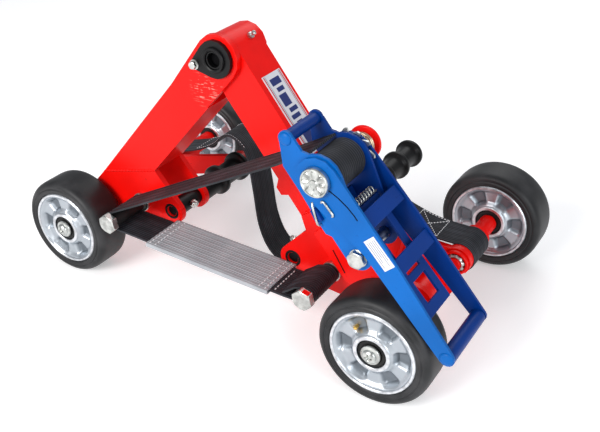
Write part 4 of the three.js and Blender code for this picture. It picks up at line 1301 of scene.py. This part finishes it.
# ---------------------------------------------------------------- webbing
@dataclass
class Webbing:
    """The ratchet strap with its sleeve, the sling under the tyre and their stitching."""

    width: float = 50.0
    thickness: float = 2.6
    roll_y: float = 36.6
    left_y: float = 65.0
    right_y: float = 63.0
    sling_left_y: float = 274.0
    sling_right_y: float = 224.5
    sling_width: float = 43.0

    def build(self) -> None:
        """Make both straps and what is sewn on them."""
        self.ratchet_strap()
        self.sling()

    def bend(self, piece: bpy.types.Object, left: float, right: float) -> None:
        """Bake a piece's placement into its mesh; the two x of the drawing between the legs are made into
        points but not used, and nothing is bent.
        """
        spot(left, 60.0, 100.0)
        spot(right, 60.0, 100.0)
        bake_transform(piece)

    def strap_stations(self) -> list[Station]:
        """From the roll down over the left pin and back to a sewn eye on the right pin."""
        slope = math.atan2(162.0, 312.5)
        start = (161.0, self.roll_y, 260.2)
        clear = (115.0, self.roll_y, 236.4)
        wrap = arc(LEFT_PIN, 9.9, math.pi / 2 + slope, 1.5 * math.pi - 0.06, self.left_y, 24)
        low = (102.0, self.right_y, 68.2)
        eye = arc(RIGHT_PIN, 9.8, -math.pi / 2, math.pi / 2, self.right_y, 20)
        back = [(118.0, self.right_y, 83.4), (110.0, self.right_y, 77.6), (102.0, self.right_y, 72.4)]
        return [
            start, *straight(start, clear, 6), clear, *straight(clear, wrap[0], 30), *wrap,
            *straight(wrap[-1], low, 30), low, *straight(low, eye[0], 6), *eye, *back,
        ]

    def ratchet_strap(self) -> None:
        """The strap, its sleeve and their white stitching."""
        belt = Belt(self.strap_stations(), self.width, self.thickness, 12, 0.4)
        strap = belt.made("ratchet_strap_fine")
        settle(strap, None, BLACK_WEBBING, ["ratchet_strap"])
        first, last = (-140.1, self.left_y, 86.9), (102.0, self.right_y, 68.2)
        at = lambda t: tuple(p + (q - p) * t for p, q in zip(first, last))
        ends = [at(0.23), at(0.93)]
        run = Belt([ends[0], *straight(ends[0], ends[1], 24), ends[1]], 60.0, 6.2, 8, 0.8)
        sleeve = run.hollow("strap_sleeve_fine", 1.1)
        settle(sleeve, None, GREY_SLEEVE, ["strap_sleeve"])
        lines = []
        for s in (4.0, 12.0, run.length - 12.0, run.length - 4.0):
            lines.append((s, -28.0, s, 28.0))
        threads = run.stitches("sleeve_stitches", lines, 3.1, 3.4, 5.4, 1.3)
        settle(threads, None, WHITE_THREAD)
        seam = Belt([at(0.93), *straight(at(0.93), at(1.06), 6), at(1.06)], self.width, self.thickness)
        eye = seam.stitches("eye_stitches", [(5.0, -22.0, 5.0, 22.0)], 1.6, 3.4, 5.4, 1.3)
        settle(eye, None, WHITE_THREAD)
        for piece in (strap, sleeve, threads, eye):
            self.bend(piece, -118.0, 100.0)
        self.width * MM
        LOG.info("ratchet strap %.0f mm in view, sleeve %.0f mm", belt.length, run.length)

    def sling_stations(self) -> list[Station]:
        """From drum to drum over both rollers, sagging between them."""
        left, right = self.sling_left_y, self.sling_right_y
        first = arc(LEFT_AXLE, 17.3, -0.9, -4.9, left, 28)
        last = arc(FAR_RIGHT_AXLE, 17.3, 1.9, -2.2, right, 28)
        route = [
            first[-1], (-180, left - 2, 92), (-142, left - 8, 110), (-112, left - 20, 134),
            (-82, left - 35, 141), (-54, left - 50, 130), (-36, left - 66, 92), (-24, left - 76, 50),
            (-6, left - 82, 22), (20, right - 36, 12), (44, right - 30, 30), (54, right - 20, 70),
            (64, right - 8, 98), (92, right, 114), (126, right - 6, 113), (162, right - 10, 99),
            (196, right - 8, 87), last[0],
        ]
        return [*first, *flowing(route, 7)[1:-1], *last]

    def sling(self) -> None:
        """The sling, a painted highlight laid over its crest and the crossed stitching by the right drum."""
        belt = Belt(self.sling_stations(), self.sling_width, self.thickness, 10, 0.4)
        sling = belt.made("sling_strap_fine")
        settle(sling, None, BLACK_WEBBING, ["sling_strap"])
        # The crest faces up: a lighter copy of the sling laid over it is a painted highlight.
        crest = [s for s in belt.stations if 56 < s[0] < 138 and s[2] > 84]
        sheen = Belt(crest, self.sling_width + 0.6, self.thickness + 0.8, 12, 0.3).made("sling_highlight_crest")
        settle(sheen, None, HIGHLIGHT_WEBBING)
        a, b = belt.along_of(176.0, 300.0), belt.along_of(208.0, 300.0)
        lines = [
            (a, -19, b, -19), (a, 19, b, 19), (a, -19, a, 19), (b, -19, b, 19), (a, -19, b, 19),
            (a, 19, b, -19),
        ]
        cross = belt.stitches("sling_box_stitches", lines, 1.5, 2.6, 3.8, 0.9)
        settle(cross, None, WHITE_THREAD)
        c, d = belt.along_of(-176.0, 60.0), belt.along_of(-60.0, 60.0)
        lines = [(c, -19, d, -19), (c, 19, d, 19), (c, -19, c, 19)]
        more = belt.stitches("sling_left_stitches", lines, 1.5, 2.6, 4.6, 0.8)
        settle(more, None, WHITE_THREAD)
        for piece in (sling, sheen, cross, more):
            self.bend(piece, -60.0, 50.0)
        LOG.info("sling %.0f mm", belt.length)


# ---------------------------------------------------------------- ratchet
@dataclass
class Ratchet:
    """The ratchet: take-up shaft with its roll, base, lever, pawls, release knob and spring."""

    blue: dict[str, float] = field(default_factory=lambda: {
        "ratchet_near_plate": 0.7, "lever_near_arm": 0.8,
    })
    # Parts that take the darker copy of the blue, as painted shade.
    shaded_parts: dict[str, float] = field(default_factory=lambda: {
        "ratchet_grip": 0.4, "lever_grip": 0.9, "lever_upper_plate": 0.6, "lever_lower_plate": 0.6,
        "ratchet_far_plate": 0.7, "lever_far_arm": 0.8, "lever_pawl": 0.5, "base_pawl": 0.6,
    })

    def build(self) -> None:
        """Make every piece of the ratchet."""
        for node, edge in self.blue.items():
            dressed(node, BLUE_PAINT, edge)
        for node, edge in self.shaded_parts.items():
            dressed(node, SHADED_BLUE, edge)
        self.toothed_wheel()
        self.shaft()
        self.roll()
        self.release()
        self.caps()
        self.near_side()
        self.lever_label()

    def shaft(self) -> None:
        """The take-up shaft with a starred head."""

        def star(angle: float) -> float:
            """Eight shallow facets on the head."""
            return -2.2 + 1.7 * abs(math.sin(4 * angle))

        rows = [
            (1.0, -2.3), (3.4, -2.3), (4.2, -1.0), (5.2, -0.9), (6.2, star), (11.6, star), (12.4, -0.8),
            (13.0, -1.6), (14.2, -1.3), (14.9, -0.2), (15.0, 1.0), (15.0, 3.8), (14.4, 4.7), (9.0, 4.7),
            (9.0, 106.2), (8.2, 107.0), (2.0, 107.0),
        ]
        shaft = turned("mandrel_fine", rows, MANDREL, 80, 28.0)
        settle(shaft, Body.TAKE_UP, ZINC, ["mandrel"])

    def toothed_wheel(self) -> None:
        """The toothed wheel beside the far plate; each tooth rises steeply and falls slowly."""

        def tooth(angle: float) -> float:
            """The wheel's radius at an angle."""
            share = (angle * 12 / FULL_TURN) % 1.0
            return 20.0 + 7.5 * (eased(share / 0.12) if share < 0.35 else 1 - (share - 0.35) / 0.65)

        rows = [(9.3, 65.3), (19.0, 65.3), (tooth, 65.5), (tooth, 67.9), (19.0, 68.1), (9.3, 68.1)]
        wheel = turned("ratchet_wheel_fine", rows, MANDREL, 240, 30.0, closed=True)
        settle(wheel, Body.TAKE_UP, ZINC, ["ratchet_wheel"])

    def roll(self) -> None:
        """The webbing wound on the shaft: ribs round it and its layers at both sides."""
        near, far, core, radius = 11.9, 61.3, 9.4, 20.5
        layers, ribs = 5, 14
        step = (radius - core) / layers
        side: list[tuple[float, float]] = [(core - 0.2, 0.6)]
        for i in range(layers):
            r = core + step * i
            side += [(r + 0.1, 0.7), (r + 0.5, 0.0), (r + step - 0.5, 0.0), (r + step - 0.1, 0.7)]
        rows: list[Row] = [(r, near + depth) for r, depth in side]
        for i in range(2 * ribs + 1):
            rows.append((radius - (0.5 if i % 2 else 0.0), near + 0.8 + (far - near - 1.6) * i / (2 * ribs)))
        rows += [(r, far - depth) for r, depth in reversed(side)]
        wound = turned(
            "wound_webbing_fine", rows, MANDREL, 72, 60.0, closed=True,
            lay_of=lambda r, y, a: (y / 10, 2 * abs(math.pi - a)),
        )
        settle(wound, Body.TAKE_UP, BLACK_WEBBING, ["wound_webbing"])

    def release(self) -> None:
        """The flanged release knob and its coil spring."""
        rows = [
            (9.4, 95.2), (16.4, 95.2), (17.5, 95.7), (18.0, 96.8), (18.0, 98.6), (17.4, 99.8), (15.8, 100.2),
            (12.6, 100.5), (11.6, 101.3), (11.3, 104.0), (10.6, 105.0), (9.4, 105.1),
        ]
        knob = turned("release_knob_fine", rows, MANDREL, 64, closed=True)
        settle(knob, Body.KNOB, RED_PAINT, ["release_knob"])
        low, high, turns, per_turn = 76.5, 93.6, 6.5, 28
        steps = int(turns * per_turn)
        path = []
        for i in range(steps + 1):
            share = i / steps
            lift = min(1.0, max(0.0, (share * turns - 0.7) / (turns - 1.4)))
            angle = share * turns * FULL_TURN
            path.append(around(MANDREL, 11.7, angle, low + (high - low) * lift))
        spring = swept("release_spring_fine", path, 1.25, 10)
        settle(spring, Body.TAKE_UP, SPRING_WIRE, ["release_spring"])
        spot(MANDREL[0], 75.1, MANDREL[1])
        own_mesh(spring)

    def dome(
        self, name: str, centre: tuple[float, float], seat: float, height: float, radius: float, body: Body,
        finish: Finish,
    ) -> None:
        """A low rounded weld cap; the height's sign is its way out along Y."""
        rows = [
            (0.8, seat + height), (radius * 0.5, seat + height * 0.93), (radius * 0.82, seat + height * 0.66),
            (radius, seat + height * 0.2), (radius, seat - height * 0.15),
            (radius * 0.3, seat - height * 0.15),
        ]
        settle(turned(name, rows, centre, 40, 60.0), body, finish)

    def caps(self) -> None:
        """Weld caps at the ends of both grips."""
        grip = (139.0, 272.5)
        tip = on_lever(204.5, 2.0)
        # The near caps take the lit blue and the far caps the darker copy, as painted shade.
        self.dome("base_grip_near_cap", grip, 8.4, -2.6, 6.6, Body.RIGHT, BLUE_PAINT)
        self.dome("base_grip_far_cap", grip, 64.8, 2.2, 6.6, Body.RIGHT, SHADED_BLUE)
        self.dome("lever_grip_near_cap", tip, 5.1, -2.2, 7.2, Body.LEVER, BLUE_PAINT)
        self.dome("lever_grip_far_cap", tip, 86.2, 2.2, 7.0, Body.LEVER, SHADED_BLUE)

    def near_side(self) -> None:
        """A painted shadow along the slot in the lever's arm, and the blue block with two bent springs on the
        base.
        """
        marks = [(13.0, 5.0), (24.0, 9.0), (35.0, 11.4), (45.0, 12.2), (52.0, 11.8)]
        path = []
        for a, b in zip(marks, marks[1:]):
            for i in range(5):
                x, z = on_lever(a[0] + (b[0] - a[0]) * i / 5, a[1] + (b[1] - a[1]) * i / 5)
                path.append(spot(x, 5.3, z))
        settle(swept("lever_slot_shadow", path, 0.75, 8), Body.LEVER, SHADE_BLACK)
        block = [on_lever(20.0, -28.5), on_lever(33.0, -31.0), on_lever(34.0, -22.5), on_lever(20.0, -21.0)]
        # The spring block takes the darker copy of the blue, as painted shade.
        settle(slab("spring_block", block, 4.4, 8.4, 0.8), Body.RIGHT, SHADED_BLUE)
        clips = (
            ("left_bent_spring", Body.RIGHT, [(14.0, -19.0, 8.0), (15.0, -20.5, 5.0), (18.0, -21.5, 3.6),
                                              (34.0, -28.8, 3.4), (36.0, -29.4, 5.0), (36.6, -29.0, 8.0)]),
            ("right_bent_spring", Body.LEVER, [(19.0, -10.5, 4.8), (18.4, -8.6, 4.0), (20.0, -7.0, 3.8),
                                               (34.0, -7.0, 3.8), (35.5, -8.2, 4.2), (35.0, -10.0, 4.8)]),
        )
        for name, body, bend in clips:
            line = []
            for p, q in zip(bend, bend[1:]):
                for i in range(4):
                    along, rise, y = (p[k] + (q[k] - p[k]) * i / 4 for k in range(3))
                    x, z = on_lever(along, rise)
                    line.append(spot(x, y, z))
            settle(swept(name, line, 1.2, 10), body, ZINC)
        coil = []
        middle = on_lever(38.0, 10.5)
        last = 7 * 16
        for i in range(last + 1):
            angle = FULL_TURN * i / 16
            coil.append(around(middle, 3.6, angle, 18.0 + 34.0 * i / last))
        settle(swept("pawl_spring", coil, 0.8, 8), Body.LEVER, ZINC)

    def lever_label(self) -> None:
        """A white film label with faint rules on the lever's arm."""

        def patch(name: str, along: Span, up: Span, y: float, finish: Finish) -> None:
            """A rectangle of film on the near arm."""
            a, b = along
            corners = [on_lever(a, up[0]), on_lever(b, up[0]), on_lever(b, up[1]), on_lever(a, up[1])]
            made = slab(name, corners, y, 5.1, 0.05)
            settle(made, Body.LEVER, finish)

        patch("lever_label_film", (70.0, 104.0), (3.4, 16.6), 4.7, WHITE_LABEL)
        for i in range(5):
            up = 5.4 + 2.2 * i
            patch(f"lever_label_rule_{i}", (73.0, 101.0 - 5.0 * (i % 3)), (up, up + 0.7), 4.6, LABEL_GREY)


# ---------------------------------------------------------------- studio
@dataclass
class Studio:
    """Pale floor, soft lights and the camera."""

    eye: tuple[float, float, float] = (0.53398, -0.78775, 0.600)
    azimuth: float = 33.50
    elevation: float = 29.56
    roll: float = -3.43
    lens: float = 51.9

    def floor(self) -> None:
        """A wide pale floor."""
        mesh = bpy.data.meshes.new("floor")
        mesh.from_pydata([(-6, -6, 0), (6, -6, 0), (6, 6, 0), (-6, 6, 0)], [], [(0, 1, 2, 3)])
        pale = Finish("pale_floor", (0.9, 0.9, 0.9), 0.6, 0.0, 0.1).material()
        shader = pale.node_tree.nodes["Principled BSDF"]
        shader.inputs["Emission Color"].default_value = (1.0, 1.0, 1.0, 1.0)
        shader.inputs["Emission Strength"].default_value = 0.3
        mesh.materials.append(pale)
        made = bpy.data.objects.new("floor", mesh)
        bpy.context.scene.collection.objects.link(made)

    def softbox(self, name: str, place: Station, size: float, power: float, colour: Colour) -> None:
        """A square area light aimed at the middle of the dolly."""
        light = bpy.data.lights.new(name, "AREA")
        light.shape = "SQUARE"
        light.size = size
        light.energy = power
        light.color = colour
        made = bpy.data.objects.new(name, light)
        made.location = place
        aim = Vector((0.0, 0.0, 0.12)) - Vector(place)
        made.rotation_mode = "QUATERNION"
        made.rotation_quaternion = aim.to_track_quat("-Z", "Y")
        bpy.context.scene.collection.objects.link(made)

    def lights(self) -> None:
        """Key from the front, fill from the right, a soft light behind, and a dim room."""
        self.softbox("key_light", (-0.35, -2.1, 1.25), 1.1, 50.0, (1.0, 0.985, 0.97))
        self.softbox("fill_light", (1.9, -0.9, 0.8), 1.0, 18.0, (0.95, 0.98, 1.0))
        self.softbox("back_light", (-0.2, 1.6, 1.6), 1.2, 10.0, (1.0, 1.0, 1.0))
        world = bpy.data.worlds.new("bright_room")
        world.use_nodes = True
        backdrop = world.node_tree.nodes["Background"]
        backdrop.inputs["Color"].default_value = (0.93, 0.95, 1.0, 1.0)
        backdrop.inputs["Strength"].default_value = 0.5
        bpy.context.scene.world = world

    def camera(self) -> None:
        """The camera, level but for a slight roll."""
        az, el, roll = (math.radians(v) for v in (self.azimuth, self.elevation, self.roll))
        back = Vector((math.sin(az) * math.cos(el), -math.cos(az) * math.cos(el), math.sin(el)))
        level = (-back).cross(Vector((0.0, 0.0, 1.0))).normalized()
        upright = level.cross(-back)
        right = level * math.cos(roll) + upright * math.sin(roll)
        up = upright * math.cos(roll) - level * math.sin(roll)
        data = bpy.data.cameras.new("studio_camera")
        data.lens = self.lens
        data.sensor_width = 36.0
        data.clip_start = 0.01
        made = bpy.data.objects.new("studio_camera", data)
        turn = Matrix((right, up, back)).transposed().to_4x4()
        made.matrix_world = Matrix.Translation(Vector(self.eye)) @ turn
        bpy.context.scene.collection.objects.link(made)
        bpy.context.scene.camera = made

    def build(self) -> None:
        """Set the whole studio."""
        self.floor()
        self.lights()
        self.camera()
        bpy.context.scene.view_settings.view_transform = "Standard"


NODES: dict[str, bpy.types.Object] = {}


def main() -> None:
    """Load the frame and build the dolly round it, piece by piece."""
    logging.basicConfig(level=logging.INFO, format="%(message)s")
    NODES.update(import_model()["nodes"])
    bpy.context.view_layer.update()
    Studio().build()
    PaintedFrame().build()
    for wheel in (
        Wheel("near_left", LEFT_AXLE, 41.0),
        Wheel("near_right", RIGHT_AXLE, 0.0, has_screw=True),
        Wheel("far_left", LEFT_AXLE, 344.0),
        Wheel("far_right", FAR_RIGHT_AXLE, 291.0),
    ):
        wheel.build()
    for spool in (
        Spool("left_roller_near", "left_near_spool", LEFT_ROLLER, 150.0, 238.3),
        Spool("left_roller_far", "left_far_spool", LEFT_ROLLER, 247.7, 402.0),
        Spool("right_roller_near", "right_near_spool", RIGHT_ROLLER, 157.0, 193.3),
        Spool("right_roller_far", "right_far_spool", RIGHT_ROLLER, 202.7, 402.0),
    ):
        spool.build()
    Fasteners().build()
    Ratchet().build()
    Webbing().build()
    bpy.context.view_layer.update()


if __name__ == "__main__":
    main()
